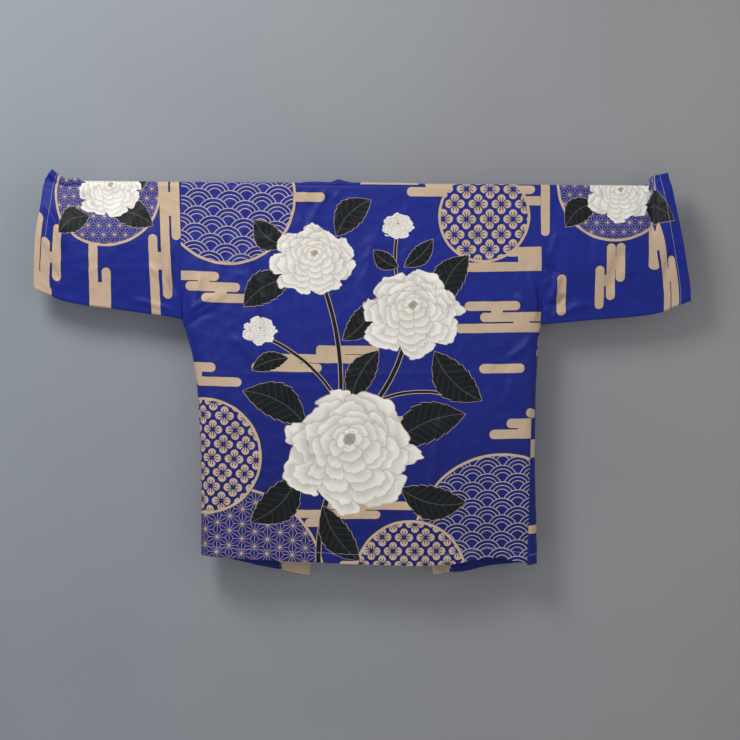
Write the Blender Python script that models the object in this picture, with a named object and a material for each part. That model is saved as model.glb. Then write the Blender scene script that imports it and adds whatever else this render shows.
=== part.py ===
"""A haori that hangs on a straight rod through both sleeves, seen from its back.

Metres, +Z up. The origin is on the rod's axis at the garment's centre back. +X runs
to the right as one looks at the back, the back hangs on the -Y side of the rod and
the fronts on the +Y side.
"""

import math
from collections import namedtuple

import bmesh
import bpy

CLOTH = 0.0015  # wall
SEAM = 0.0003  # gap between pieces that are sewn together, and between cloth and rod

ROD_RADIUS = 0.011
ROD_LEFT, ROD_RIGHT = -0.547, 0.575
OVER_ROD = ROD_RADIUS + SEAM + CLOTH / 2  # middle of the wall where it lies on the rod
QUARTER = OVER_ROD * math.pi / 2  # cloth from the rod's crest to its side

SHOULDER_FORWARD = 0.006  # the shoulder seam lies this far in front of the crest
NECK_BEHIND = 0.010  # the back neck seam lies this far behind the crest
NECK_HALF = 0.116  # half the width of the neck, at the shoulder seams
BAND = 0.060  # width of the collar band

SIDE_ROUND = 0.030  # width over which back and front turn into the side seam
SEAM_ANGLE = SEAM / SIDE_ROUND  # the part of a turn that half a seam's gap takes
UNDERARM_RADIUS = 0.004  # fold of the sleeve's lower edge
ARMPIT_BLEND = 0.036  # height above the armpit over which the side seam's turn begins
ARMPIT_INSET = 0.0010  # the edge is drawn in by this much, from twice that height down
RUN_ON_POWER = 3  # above the armpit the turn leaves the armhole flat, 1 is a round turn
CREASE_OPENING = 0.022  # height below a fin's crease over which the sleeve opens
BULGE_POWER = 1.5  # how far a sleeve's bulge draws in from its crest and its lower edge

Side = namedtuple("Side", "z left right right_seam")
SIDES = [
    Side(z=0.000, left=-0.3585, right=0.3600, right_seam=0.3600),
    Side(z=-0.264, left=-0.3567, right=0.3650, right_seam=0.3650),
    Side(z=-0.290, left=-0.3490, right=0.3618, right_seam=0.3605),
    Side(z=-0.340, left=-0.3349, right=0.3590, right_seam=0.3550),
    Side(z=-0.410, left=-0.3247, right=0.3562, right_seam=0.3480),
    Side(z=-0.524, left=-0.3181, right=0.3555, right_seam=0.3450),
    Side(z=-0.640, left=-0.3152, right=0.3590, right_seam=0.3425),
    Side(z=-0.750, left=-0.3150, right=0.3620, right_seam=0.3394),
]

Armpit = namedtuple("Armpit", "x z")
ARMPITS = [Armpit(x=-0.3567, z=-0.2640), Armpit(x=0.3650, z=-0.2690)]

Hem = namedtuple("Hem", "x z")
BACK_HEM = [
    Hem(x=-0.315, z=-0.7356),
    Hem(x=-0.235, z=-0.7400),
    Hem(x=-0.115, z=-0.7460),
    Hem(x=0.005, z=-0.7500),
    Hem(x=0.100, z=-0.7512),
    Hem(x=0.187, z=-0.7480),
    Hem(x=0.235, z=-0.7395),
    Hem(x=0.281, z=-0.7350),
    Hem(x=0.321, z=-0.7425),
    Hem(x=0.362, z=-0.7465),
]
FRONT_HEM = [
    Hem(x=-0.315, z=-0.7356),
    Hem(x=-0.235, z=-0.7540),
    Hem(x=-0.155, z=-0.7690),
    Hem(x=-0.095, z=-0.7810),
    Hem(x=0.150, z=-0.7730),
    Hem(x=0.198, z=-0.7710),
    Hem(x=0.281, z=-0.7560),
    Hem(x=0.362, z=-0.7465),
]

Hang = namedtuple("Hang", "z back front")
HANGS = [
    Hang(z=0.00, back=OVER_ROD, front=OVER_ROD),
    Hang(z=-0.10, back=0.0145, front=0.0150),
    Hang(z=-0.25, back=0.0190, front=0.0210),
    Hang(z=-0.40, back=0.0230, front=0.0270),
    Hang(z=-0.60, back=0.0260, front=0.0330),
    Hang(z=-0.78, back=0.0270, front=0.0370),
]

# A fold runs from its top to its foot and stands out from the body by its rise.
Fold = namedtuple("Fold", "top_x top_z foot_x foot_z half_width rise reaches_hem")
BACK_FOLDS = [
    Fold(-0.228, -0.10, -0.168, -0.38, 0.034, 0.0065, False),
    Fold(-0.330, -0.27, -0.262, -0.20, 0.020, 0.0040, False),
    Fold(0.335, -0.30, 0.300, -0.44, 0.030, 0.0040, False),
    Fold(-0.205, -0.42, -0.235, -0.75, 0.050, 0.0070, True),
    Fold(-0.060, -0.46, -0.075, -0.75, 0.055, -0.0060, True),
    Fold(0.105, -0.36, 0.120, -0.75, 0.060, 0.0080, True),
    Fold(0.262, -0.46, 0.276, -0.75, 0.045, -0.0090, True),
]
FRONT_FOLDS = [
    Fold(-0.300, -0.24, -0.235, -0.17, 0.022, 0.0045, False),
    Fold(-0.225, -0.30, -0.240, -0.77, 0.045, 0.0095, True),
    Fold(0.225, -0.12, 0.180, -0.36, 0.032, 0.0060, False),
    Fold(0.250, -0.34, 0.262, -0.77, 0.048, 0.0100, True),
]

# The collar seam, and how far the band's inner edge lies from it as the eye sees it.
# A band that is turned shows narrower than it is and stands out of the front's plane.
Collar = namedtuple("Collar", "z seam width turn")
LEFT_COLLAR = [
    Collar(z=0.00, seam=-0.1160, width=0.0600, turn=0.000),
    Collar(z=-0.20, seam=-0.1230, width=0.0600, turn=0.002),
    Collar(z=-0.50, seam=-0.1410, width=0.0590, turn=0.005),
    Collar(z=-0.78, seam=-0.1545, width=0.0580, turn=0.008),
]
RIGHT_COLLAR = [
    Collar(z=0.00, seam=0.1160, width=0.0600, turn=0.000),
    Collar(z=-0.20, seam=0.1300, width=0.0590, turn=-0.006),
    Collar(z=-0.50, seam=0.1620, width=0.0470, turn=-0.020),
    Collar(z=-0.78, seam=0.1880, width=0.0340, turn=-0.030),
]

BAND_BEHIND = NECK_BEHIND - 0.0005  # the band's seam edge round the back of the neck
NECK_DROP = 0.012  # the band's inner edge is rounded this far down into each leg
NECK_DROP_REACH = 0.026  # over this width

# A sleeve's stations run from the armhole to the cuff, "reach" being the share of that
# way. Past the rod's end the cloth keeps its ironed fold: its crest stands up, with a
# narrow tip, as a fin above its crease. Below it the shoulder widens the sleeve, the
# bulge fills it at half its depth, and "under" is the height of its lower edge.
Station = namedtuple("Station", "reach crest tip fin shoulder under bulge")
LEFT_SLEEVE = [
    Station(0.000, OVER_ROD, OVER_ROD, 0.000, 0.000, -0.2640, 0.007),
    Station(0.080, OVER_ROD, OVER_ROD, 0.000, 0.000, -0.2588, 0.008),
    Station(0.220, OVER_ROD, OVER_ROD, 0.000, 0.000, -0.2540, 0.010),
    Station(0.370, OVER_ROD, OVER_ROD, 0.000, 0.000, -0.2478, 0.013),
    Station(0.520, OVER_ROD, OVER_ROD, 0.000, 0.000, -0.2424, 0.013),
    Station(0.640, OVER_ROD, OVER_ROD, 0.000, 0.000, -0.2385, 0.012),
    Station(0.725, OVER_ROD, OVER_ROD, 0.000, 0.000, -0.2345, 0.012),
    Station(0.765, 0.0175, 0.0030, 0.008, 0.008, -0.2320, 0.012),
    Station(0.830, 0.0160, 0.0024, 0.008, 0.008, -0.2280, 0.012),
    Station(0.900, 0.0215, 0.0024, 0.010, 0.009, -0.2190, 0.012),
    Station(0.960, 0.0300, 0.0024, 0.014, 0.009, -0.2125, 0.013),
    Station(1.000, 0.0352, 0.0024, 0.018, 0.010, -0.2083, 0.013),
]
RIGHT_SLEEVE = [
    Station(0.000, OVER_ROD, OVER_ROD, 0.000, 0.000, -0.2690, 0.007),
    Station(0.080, OVER_ROD, OVER_ROD, 0.000, 0.000, -0.2663, 0.008),
    Station(0.220, OVER_ROD, OVER_ROD, 0.000, 0.000, -0.2620, 0.011),
    Station(0.370, OVER_ROD, OVER_ROD, 0.000, 0.000, -0.2578, 0.013),
    Station(0.520, OVER_ROD, OVER_ROD, 0.000, 0.000, -0.2540, 0.013),
    Station(0.680, OVER_ROD, OVER_ROD, 0.000, 0.000, -0.2490, 0.013),
    Station(0.815, OVER_ROD, OVER_ROD, 0.000, 0.000, -0.2410, 0.012),
    Station(0.850, 0.0265, 0.0040, 0.004, 0.008, -0.2370, 0.012),
    Station(0.890, 0.0320, 0.0040, 0.004, 0.009, -0.2310, 0.012),
    Station(0.940, 0.0350, 0.0040, 0.005, 0.009, -0.2255, 0.013),
    Station(1.000, 0.0385, 0.0040, 0.006, 0.010, -0.2187, 0.014),
]

Cuff = namedtuple("Cuff", "z x")
LEFT_CUFF = [
    Cuff(z=0.0352, x=-0.6200),
    Cuff(z=0.0158, x=-0.6319),
    Cuff(z=-0.0400, x=-0.6386),
    Cuff(z=-0.0843, x=-0.6458),
    Cuff(z=-0.1374, x=-0.6512),
    Cuff(z=-0.1984, x=-0.6533),
    Cuff(z=-0.2083, x=-0.6480),
]
RIGHT_CUFF = [
    Cuff(z=0.0385, x=0.6166),
    Cuff(z=-0.0105, x=0.6264),
    Cuff(z=-0.0620, x=0.6365),
    Cuff(z=-0.1289, x=0.6502),
    Cuff(z=-0.2053, x=0.6640),
    Cuff(z=-0.2187, x=0.6646),
]

SHOULDER_COLUMNS, NECK_COLUMNS, FRONT_COLUMNS, INNER_NECK_COLUMNS = 11, 10, 11, 8
ROWS_TO_ARMPIT, ROWS_TO_HEM, LEG_ROWS = 8, 12, 17
SHOULDER_ROWS, NECK_ROWS, FRONT_TOP_ROWS, BAND_ROD_ROWS, BAND_HANG_ROWS = 4, 2, 3, 7, 3
SEAM_ROW = 0.0012  # a narrow first row keeps a seam's edge square where the cloth bends
ROW_CROWDING = 1.5  # rows lie closer together towards the armpit
DEPTH_CROWDING = 1.3  # and towards a sleeve's crest
SIDE_STEPS = [0.0, 0.04, 0.22, 0.42, 0.62, 0.82]  # shares of the turn into the side seam
WRAPPED_STEPS = [0.0, 0.03, 0.16, 0.30, 0.44, 0.58, 0.72, 0.86]
ACROSS_BAND = [0.0, 0.05, 0.28, 0.52, 0.76, 1.0]
CREST_STEPS, DEPTH_STEPS, UNDERARM_STEPS = 5, 8, 2
ROD_SIDES = 32
SHARP_ANGLE = math.radians(40)  # edges sharper than this stay crisp

Finish = namedtuple("Finish", "name colour roughness")
PRINTED_CLOTH = Finish("printed polyester", (0.022, 0.033, 0.194, 1.0), 0.62)
TAN_CLOTH = Finish("tan polyester", (0.571, 0.445, 0.323, 1.0), 0.62)
WOOD = Finish("plain wood", (0.48, 0.33, 0.20, 1.0), 0.55)


def clear_scene():
    for obj in list(bpy.data.objects):
        bpy.data.objects.remove(obj, do_unlink=True)


def material(finish):
    made = bpy.data.materials.get(finish.name)
    if made is None:
        made = bpy.data.materials.new(finish.name)
        made.use_nodes = True
        shader = made.node_tree.nodes["Principled BSDF"]
        shader.inputs["Base Color"].default_value = finish.colour
        shader.inputs["Roughness"].default_value = finish.roughness
        shader.inputs["Metallic"].default_value = 0.0
    return made


def smooth(share):
    share = min(1.0, max(0.0, share))
    return share * share * (3 - 2 * share)


def between(low, high, share):
    return low + (high - low) * share


def steps(low, high, count):
    return [between(low, high, i / count) for i in range(count + 1)]


def steps_from_seam(low, high, count):
    return [low] + steps(low + SEAM_ROW, high, count)


def slopes(places, values):
    """Slopes at a table's rows for a smooth curve that never swings past a row."""
    gaps = zip(places, places[1:], values, values[1:])
    rises = [(v2 - v1) / (p2 - p1) for p1, p2, v1, v2 in gaps]
    inner = [0.0 if a * b <= 0 else 2 * a * b / (a + b) for a, b in zip(rises, rises[1:])]
    return [rises[0]] + inner + [rises[-1]]


def read(table, key, at, value):
    """The table's value at a place on its key column, on a smooth curve through its rows."""
    rows = sorted(table, key=lambda row: getattr(row, key))
    places = [getattr(row, key) for row in rows]
    values = [getattr(row, value) for row in rows]
    at = min(max(at, places[0]), places[-1])
    slope = slopes(places, values)
    i = max(k for k in range(len(rows) - 1) if at >= places[k])
    width = places[i + 1] - places[i]
    share = (at - places[i]) / width
    start = (1 + 2 * share) * (1 - share) ** 2 * values[i]
    end = share**2 * (3 - 2 * share) * values[i + 1]
    leave = share * (1 - share) ** 2 * width * slope[i]
    arrive = share**2 * (share - 1) * width * slope[i + 1]
    return start + end + leave + arrive


def fold_rise(folds, x, z):
    total = 0.0
    for fold in folds:
        along = (fold.top_z - z) / (fold.top_z - fold.foot_z)
        if along <= 0 or (along >= 1 and not fold.reaches_hem):
            continue
        centre = between(fold.top_x, fold.foot_x, min(along, 1.0))
        across = abs(x - centre) / fold.half_width
        if across >= 1:
            continue
        if fold.reaches_hem:
            strength = smooth(along)
        else:
            strength = math.sin(math.pi * along)
        total += fold.rise * strength * math.cos(across * math.pi / 2) ** 2
    return total


def armhole_half_depth(x, z):
    """Half the sleeve's depth at the armhole, which the body meets there."""
    armpit = ARMPITS[0] if x < 0 else ARMPITS[1]
    sleeve = LEFT_SLEEVE if x < 0 else RIGHT_SLEEVE
    if z <= armpit.z:
        return 0.0
    return section_half_depth(sleeve[0], -z / (-armpit.z - UNDERARM_RADIUS), -z)


def hang(x, z, layer):
    """How far a layer hangs from the rod's plane, away from the sides."""
    folds = BACK_FOLDS if layer == "back" else FRONT_FOLDS
    return read(HANGS, "z", z, layer) + fold_rise(folds, x, z)


def near_armpit(side, z, above):
    """0 from a height above the armpit upwards, 1 from the armpit down."""
    armpit = ARMPITS[0] if side < 0 else ARMPITS[1]
    return smooth((armpit.z + above - z) / above)


def on_side(side, z, angle, layer):
    """A point near the side, where back and front turn into each other.

    The angle is 90 degrees where the panel leaves the turn, 0 at the outermost line
    and negative past it, on the other layer.
    """
    edge = side_edge(side, z)
    x = edge - side * SIDE_ROUND * (1 - math.cos(angle))
    sign = -1 if layer == "back" else 1
    other = "front" if layer == "back" else "back"
    reach = hang(x, z, layer if angle >= 0 else other)
    mouth = armhole_half_depth(edge, z)
    power = between(RUN_ON_POWER, 1, near_armpit(side, z, ARMPIT_BLEND))
    out = math.copysign(abs(math.sin(angle)) ** power, angle)
    return x, sign * (mouth + (reach - mouth) * out), z


def side_edge(side, z):
    """The body's outermost line, drawn in a little at the armpit to clear the sleeve."""
    edge = read(SIDES, "z", z, "left" if side < 0 else "right")
    inset = ARMPIT_INSET * near_armpit(side, z - ARMPIT_BLEND, ARMPIT_BLEND)
    return edge - side * (SEAM / 2 + inset)


def over_rod(x, fall, sign):
    """A point on the part of the cloth that lies on the rod, by its distance from the crest."""
    angle = fall / OVER_ROD
    return x, sign * OVER_ROD * math.sin(angle), OVER_ROD * math.cos(angle)


def heights(x, hem_z):
    """Row heights from the rod's side down to the armpit and on to the hem."""
    armpit_z = read(ARMPITS, "x", x, "z")
    shares = steps(0, 1, ROWS_TO_ARMPIT)[1:]
    upper = [armpit_z * (1 - (1 - share) ** ROW_CROWDING) for share in shares]
    return upper + steps(armpit_z, hem_z, ROWS_TO_HEM)[1:]


def sheet(name, rows, finish, ring=False):
    """A sheet through rows of points, given its wall by Solidify. A None leaves a hole."""
    mesh = bpy.data.meshes.new(name)
    shape = bmesh.new()
    lines = [[point and shape.verts.new(point) for point in row] for row in rows]
    for upper, lower in zip(lines, lines[1:]):
        count = len(upper)
        for i in range(count if ring else count - 1):
            corners = (upper[i], upper[(i + 1) % count], lower[(i + 1) % count], lower[i])
            if all(corners):
                shape.faces.new(corners)
    bmesh.ops.recalc_face_normals(shape, faces=shape.faces)
    shape.to_mesh(mesh)
    shape.free()
    mesh.shade_smooth()
    mesh.materials.append(material(finish))
    obj = bpy.data.objects.new(name, mesh)
    bpy.context.scene.collection.objects.link(obj)
    wall = obj.modifiers.new("wall", "SOLIDIFY")
    wall.thickness = CLOTH
    wall.offset = 0.0
    wall.use_even_offset = True


def middle_column(layer, inner_edge, outer_edge, share):
    def point(z):
        x = between(inner_edge(z), outer_edge(z), share)
        sign = -1 if layer == "back" else 1
        return x, sign * hang(x, z, layer), z

    return point


def seam_angle(side, z, layer):
    """Where round the side the layer ends, half a seam's gap short of the seam."""
    if side < 0:
        return SEAM_ANGLE
    out = read(SIDES, "z", z, "right") - read(SIDES, "z", z, "right_seam")
    wrap = math.acos(1 - out / SIDE_ROUND)
    return SEAM_ANGLE + wrap if layer == "back" else SEAM_ANGLE - wrap


def turned_column(layer, side, share):
    """A column in the turn at a side: share 0 is the seam's edge, 1 the turn's start."""

    def point(z):
        angle = between(seam_angle(side, z, layer), math.pi / 2, share)
        return on_side(side, z, angle, layer)

    return point


def panel_rows(columns, falls, hem, sign):
    """Rows of a body panel: over the rod from its upper edge, then down to its hem."""
    lines = []
    for column in columns:
        top_x = column(0.0)[0]
        hem_z = read(hem, "x", column(hem[0].z)[0], "z")
        line = [over_rod(top_x, fall, sign) for fall in falls[:-1]]
        line += [column(z) for z in [0.0] + heights(top_x, hem_z)]
        lines.append(line)
    return [list(row) for row in zip(*lines)]


def turn_start(side):
    return lambda z: side_edge(side, z) - side * SIDE_ROUND


def make_back():
    left, right = turn_start(-1), turn_start(1)
    neck = NECK_HALF + SEAM
    places = steps(left(0.0), -neck, SHOULDER_COLUMNS)
    neck_from = len(SIDE_STEPS) + len(places) - 1
    places += steps(-neck, neck, NECK_COLUMNS)[1:]
    neck_to = len(SIDE_STEPS) + len(places) - 1
    places += steps(neck, right(0.0), SHOULDER_COLUMNS)[1:]
    shares = [(place - left(0.0)) / (right(0.0) - left(0.0)) for place in places]

    columns = [turned_column("back", -1, share) for share in SIDE_STEPS]
    columns += [middle_column("back", left, right, share) for share in shares]
    columns += [turned_column("back", 1, share) for share in reversed(SIDE_STEPS)]
    falls = steps_from_seam(SEAM / 2 - SHOULDER_FORWARD, NECK_BEHIND, SHOULDER_ROWS)
    neck_row = len(falls) - 1
    falls += steps_from_seam(NECK_BEHIND, QUARTER, NECK_ROWS)[1:]
    rows = panel_rows(columns, falls, BACK_HEM, -1)
    for row in rows[:neck_row]:
        for i in range(neck_from + 1, neck_to):
            row[i] = None
    sheet("back", rows, PRINTED_CLOTH)


def make_front(name, side):
    """A front panel from the collar seam to the side seam."""
    collar = LEFT_COLLAR if side < 0 else RIGHT_COLLAR
    turn_steps = SIDE_STEPS if side < 0 else WRAPPED_STEPS

    def inner_edge(z):
        return read(collar, "z", z, "seam") + side * SEAM

    columns = [
        middle_column("front", inner_edge, turn_start(side), share)
        for share in steps(0.0, 1.0, FRONT_COLUMNS)
    ]
    columns += [turned_column("front", side, share) for share in reversed(turn_steps)]
    falls = steps_from_seam(SHOULDER_FORWARD + SEAM / 2, QUARTER, FRONT_TOP_ROWS)
    sheet(name, panel_rows(columns, falls, FRONT_HEM, 1), PRINTED_CLOTH)


def on_front(x, fall, turn=0.0):
    """A point of the collar band: over the rod, then down in the fronts' plane."""
    if fall < QUARTER:
        return over_rod(x, fall, 1)
    z = QUARTER - fall
    return x, hang(x, z, "front") + turn, z


def band_falls(gap):
    """Falls of the rows round the neck, at a distance from the leg's inner edge."""
    dip = NECK_DROP * max(0.0, 1 - gap / NECK_DROP_REACH) ** 2
    falls = steps_from_seam(-BAND_BEHIND, QUARTER, BAND_ROD_ROWS)
    return falls + steps(QUARTER, BAND - BAND_BEHIND + dip, BAND_HANG_ROWS)[1:]


def leg_column(table, side, across):
    """A line down one leg of the band, from the neck seam to the hem."""

    def place(z):
        return read(table, "z", z, "seam") - side * across * read(table, "z", z, "width")

    falls = band_falls(BAND * (1 - across))
    hem_fall = QUARTER - read(FRONT_HEM, "x", place(table[-1].z), "z")
    falls += steps(falls[-1], hem_fall, LEG_ROWS)[1:]
    line = []
    for fall in falls:
        z = min(0.0, QUARTER - fall)
        turn = read(table, "z", z, "turn") * smooth(across)
        line.append(on_front(place(z), fall, turn))
    return line


def make_collar():
    inner = NECK_HALF - BAND
    lines = [leg_column(LEFT_COLLAR, -1, across) for across in ACROSS_BAND]
    for x in steps(-inner, inner, INNER_NECK_COLUMNS)[1:-1]:
        line = [on_front(x, fall) for fall in band_falls(inner - abs(x))]
        lines.append(line + [None] * LEG_ROWS)
    lines += [leg_column(RIGHT_COLLAR, 1, across) for across in reversed(ACROSS_BAND)]
    sheet("collar", list(zip(*lines)), TAN_CLOTH)


def section_half_depth(station, share, drop):
    """Half the sleeve's depth, at a share of its side and at a drop below the tip's centre."""
    share = min(1.0, max(0.0, share))
    opened = smooth((drop - station.fin) / CREASE_OPENING)
    straight = between(station.tip + station.shoulder * opened, UNDERARM_RADIUS, share)
    return straight + station.bulge * math.sin(math.pi * share) ** BULGE_POWER


def sleeve_ring(station, armhole_x, cuff):
    """One ring of the sleeve: crest, back side, underarm, front side."""
    centre = station.crest - station.tip
    side_height = centre - station.under - UNDERARM_RADIUS
    half = []
    for i in range(CREST_STEPS):
        angle = math.pi / 2 * i / CREST_STEPS
        half.append((station.tip * math.sin(angle), centre + station.tip * math.cos(angle)))
    for i in range(DEPTH_STEPS + 1):
        share = (i / DEPTH_STEPS) ** DEPTH_CROWDING
        drop = share * side_height
        half.append((section_half_depth(station, share, drop), centre - drop))
    for i in range(1, UNDERARM_STEPS + 1):
        angle = math.pi / 2 * i / UNDERARM_STEPS
        z = station.under + UNDERARM_RADIUS * (1 - math.sin(angle))
        half.append((UNDERARM_RADIUS * math.cos(angle), z))
    ring = []
    for depth, z in half:
        x = between(armhole_x(z), read(cuff, "z", z, "x"), station.reach)
        ring.append((x, -depth, z))
    ring += [(x, -y, z) for x, y, z in reversed(ring[1:-1])]
    return ring


def make_sleeve(name, stations, cuff, side):
    column = "left" if side < 0 else "right"

    def armhole_x(z):
        return read(SIDES, "z", max(z, ARMPITS[0].z), column) + side * SEAM / 2

    rings = [sleeve_ring(station, armhole_x, cuff) for station in stations]
    sheet(name, rings, PRINTED_CLOTH, ring=True)


def make_rod():
    mesh = bpy.data.meshes.new("rod")
    shape = bmesh.new()
    bmesh.ops.create_cone(
        shape,
        cap_ends=True,
        segments=ROD_SIDES,
        radius1=ROD_RADIUS,
        radius2=ROD_RADIUS,
        depth=ROD_RIGHT - ROD_LEFT,
    )
    shape.to_mesh(mesh)
    shape.free()
    mesh.shade_smooth()
    mesh.set_sharp_from_angle(angle=SHARP_ANGLE)
    mesh.materials.append(material(WOOD))
    rod = bpy.data.objects.new("rod", mesh)
    rod.location = ((ROD_LEFT + ROD_RIGHT) / 2, 0, 0)
    rod.rotation_euler = (0, math.pi / 2, 0)
    bpy.context.scene.collection.objects.link(rod)


def main():
    clear_scene()
    make_rod()
    make_back()
    make_front("front_left", -1)
    make_front("front_right", 1)
    make_sleeve("sleeve_left", LEFT_SLEEVE, LEFT_CUFF, -1)
    make_sleeve("sleeve_right", RIGHT_SLEEVE, RIGHT_CUFF, 1)
    make_collar()


main()
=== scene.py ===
"""The looks of a haori that hangs on a straight rod, seen from its back.

Metres, +Z up. The origin is on the rod's axis at the garment's centre back, +X runs
to the right as one looks at the back, and the back hangs on the -Y side of the rod.
Tables of lengths are written in millimetres and become metres as they are read.
"""

import math
import random
from collections import namedtuple

import bmesh
import bpy
import numpy as np
from mathutils import Matrix, Vector


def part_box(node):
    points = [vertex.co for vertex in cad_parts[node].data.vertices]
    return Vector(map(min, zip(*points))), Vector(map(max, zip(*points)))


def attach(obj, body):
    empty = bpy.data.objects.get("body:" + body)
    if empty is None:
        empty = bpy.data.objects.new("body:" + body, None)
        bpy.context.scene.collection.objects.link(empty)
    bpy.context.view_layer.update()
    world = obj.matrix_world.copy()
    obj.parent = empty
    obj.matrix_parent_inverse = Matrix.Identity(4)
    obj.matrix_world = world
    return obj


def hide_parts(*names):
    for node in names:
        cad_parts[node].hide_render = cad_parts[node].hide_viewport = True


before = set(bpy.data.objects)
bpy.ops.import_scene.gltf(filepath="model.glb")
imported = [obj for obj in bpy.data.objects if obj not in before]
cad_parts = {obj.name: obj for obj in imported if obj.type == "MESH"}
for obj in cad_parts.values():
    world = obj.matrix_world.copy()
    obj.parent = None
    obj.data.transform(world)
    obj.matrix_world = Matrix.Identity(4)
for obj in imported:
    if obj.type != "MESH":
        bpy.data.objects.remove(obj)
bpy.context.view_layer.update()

# The rod is a plain sanded dowel, sawn square with its two rims eased. It runs inside
# the sleeves, so only its ends show, deep in the cuffs.
ROD_RADIUS = 0.011
ROD_EASE = 0.0012
ROD_GRAIN = (0.50, 0.35, 0.21, 1.0)
ROD_LATEWOOD = (0.33, 0.20, 0.105, 1.0)


def placed(name, data):
    """New data made an object in the scene."""
    made = bpy.data.objects.new(name, data)
    bpy.context.scene.collection.objects.link(made)
    return made


def made_object(name, shape, *materials):
    """A finished shape made an object with its materials."""
    mesh = bpy.data.meshes.new(name)
    shape.to_mesh(mesh)
    shape.free()
    for material in materials:
        mesh.materials.append(material)
    return placed(name, mesh)


def link_piece(name, shape, *materials):
    """A finished shape made a piece of the part's one body, shaded smooth."""
    made = made_object(name, shape, *materials)
    made.data.shade_smooth()
    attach(made, "root")
    return made


def new_material(name):
    """A new material with its node tree and its shader."""
    material = bpy.data.materials.new(name)
    material.use_nodes = True
    return material, material.node_tree, material.node_tree.nodes["Principled BSDF"]


def set_inputs(node, **values):
    for name, value in values.items():
        node.inputs[name.replace("_", " ")].default_value = value


def added(tree, kind, **values):
    """A new node of a kind with some of its inputs set."""
    node = tree.nodes.new("ShaderNode" + kind)
    set_inputs(node, **values)
    return node


def ramp(tree, *stops):
    """A colour ramp with two stops, each a position and a colour."""
    node = added(tree, "ValToRGB")
    for element, (position, colour) in zip(node.color_ramp.elements, stops):
        element.position = position
        element.color = colour
    return node


def join(start, output, end, socket):
    start.id_data.links.new(start.outputs[output], end.inputs[socket])


def add_relief(shader, height, strength, distance):
    """Fine relief on a shader, as high as a socket says."""
    bump = added(shader.id_data, "Bump", Strength=strength, Distance=distance)
    shader.id_data.links.new(height, bump.inputs["Height"])
    join(bump, "Normal", shader, "Normal")


def rod_wood():
    """Growth rings round a pith beside the axis: lines along the rod, arcs on its ends."""
    wood, tree, shader = new_material("sanded dowel")
    place = added(tree, "TexCoord")
    turned = added(tree, "Mapping", Location=(0.0, 0.006, -0.019), Scale=(0.035, 1.0, 1.0))
    rings = added(tree, "TexWave", Scale=95.0, Distortion=2.2, Detail=3.0)
    rings.wave_type = "RINGS"
    rings.rings_direction = "X"
    colour = ramp(tree, (0.12, ROD_LATEWOOD), (0.55, ROD_GRAIN))
    fibres = added(tree, "TexNoise", Scale=900.0, Detail=4.0)
    join(place, "Object", turned, "Vector")
    join(turned, "Vector", rings, "Vector")
    join(turned, "Vector", fibres, "Vector")
    join(rings, "Color", colour, "Fac")
    join(colour, "Color", shader, "Base Color")
    add_relief(shader, fibres.outputs["Fac"], 0.25, 0.0003)
    set_inputs(shader, Roughness=0.52)
    return wood


rod_low, rod_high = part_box("rod")
rod_length = rod_high.x - rod_low.x
rod_shape = bmesh.new()
bmesh.ops.create_cone(
    rod_shape, cap_ends=True, segments=48, radius1=ROD_RADIUS, radius2=ROD_RADIUS, depth=rod_length
)
rims = [edge for edge in rod_shape.edges if abs(edge.verts[0].co.z - edge.verts[1].co.z) < ROD_EASE]
bmesh.ops.bevel(
    rod_shape, geom=rims, offset=ROD_EASE, segments=3, profile=0.5, affect="EDGES", material=-1
)
rod_middle = Matrix.Translation(((rod_low.x + rod_high.x) / 2, 0, 0))
along_x = rod_middle @ Matrix.Rotation(math.pi / 2, 4, "Y")
bmesh.ops.transform(rod_shape, matrix=along_x, verts=rod_shape.verts)
dowel = link_piece("dowel", rod_shape, rod_wood())
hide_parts("rod")

# The back is one panel of printed polyester with no seam down its middle. It goes over
# the rod to the shoulder seams, is cut out at the neck, and its hem is turned up inside.
CLOTH = 0.0005
SEAM = 0.0003
OVER_ROD = ROD_RADIUS + SEAM + 0.00075  # middle of the solids' wall on the rod
QUARTER = OVER_ROD * math.pi / 2  # cloth from the rod's crest to its side
SHOULDER_FORWARD = 0.006  # the shoulder seams lie in front of the crest
NECK_BEHIND = 0.010  # and the neck seam behind it
NECK_HALF = 0.116
SIDE_ROUND = 0.030  # width over which back and front turn into the side seam
TURN_LENGTH = 0.038  # cloth in that turn
ARMPIT_BLEND = 0.036
ARMPIT_INSET = 0.0010
RUN_ON_POWER = 3
UNDERARM_RADIUS = 0.004
CREASE_OPENING = 0.022
BULGE_POWER = 1.5
HEM = 0.021  # turned up inside
ALLOWANCE = 0.008  # turned under at a sewn edge
FOLD_RADIUS = 0.0003
SPACING = 0.0038  # between the mesh's rows and columns
ROD_SPACING = 0.002  # where the cloth bends round the rod or the underarm
SIDE_FADE, TOP_FADE = 0.022, 0.014  # the creases fade towards the side seams and the rod
PRINT_DIP, DIP_HALF_WIDTH, DIP_REACH = 0.005, 0.34, 0.12
NORMAL_STEP = 0.0001
PANEL_SIGN = {"back": -1, "front": 1}
HALVES = {-1: "left", 1: "right"}


def rows(kind, *values):
    """A table's rows, each with its values in the order of the kind's fields."""
    return [kind(*row) for row in values]


def in_metres(kind, *values):
    """The rows of a table of lengths in millimetres, made metres."""
    return [kind(*(v if isinstance(v, bool) else v / 1000 for v in row)) for row in values]


Side = namedtuple("Side", "z left right right_seam")
SIDES = in_metres(
    Side,
    (0, -358.5, 360, 360), (-264, -356.7, 365, 365), (-290, -349, 361.8, 360.5),
    (-340, -334.9, 359, 355), (-410, -324.7, 356.2, 348), (-524, -318.1, 355.5, 345),
    (-640, -315.2, 359, 342.5), (-750, -315, 362, 339.4),
)

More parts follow.
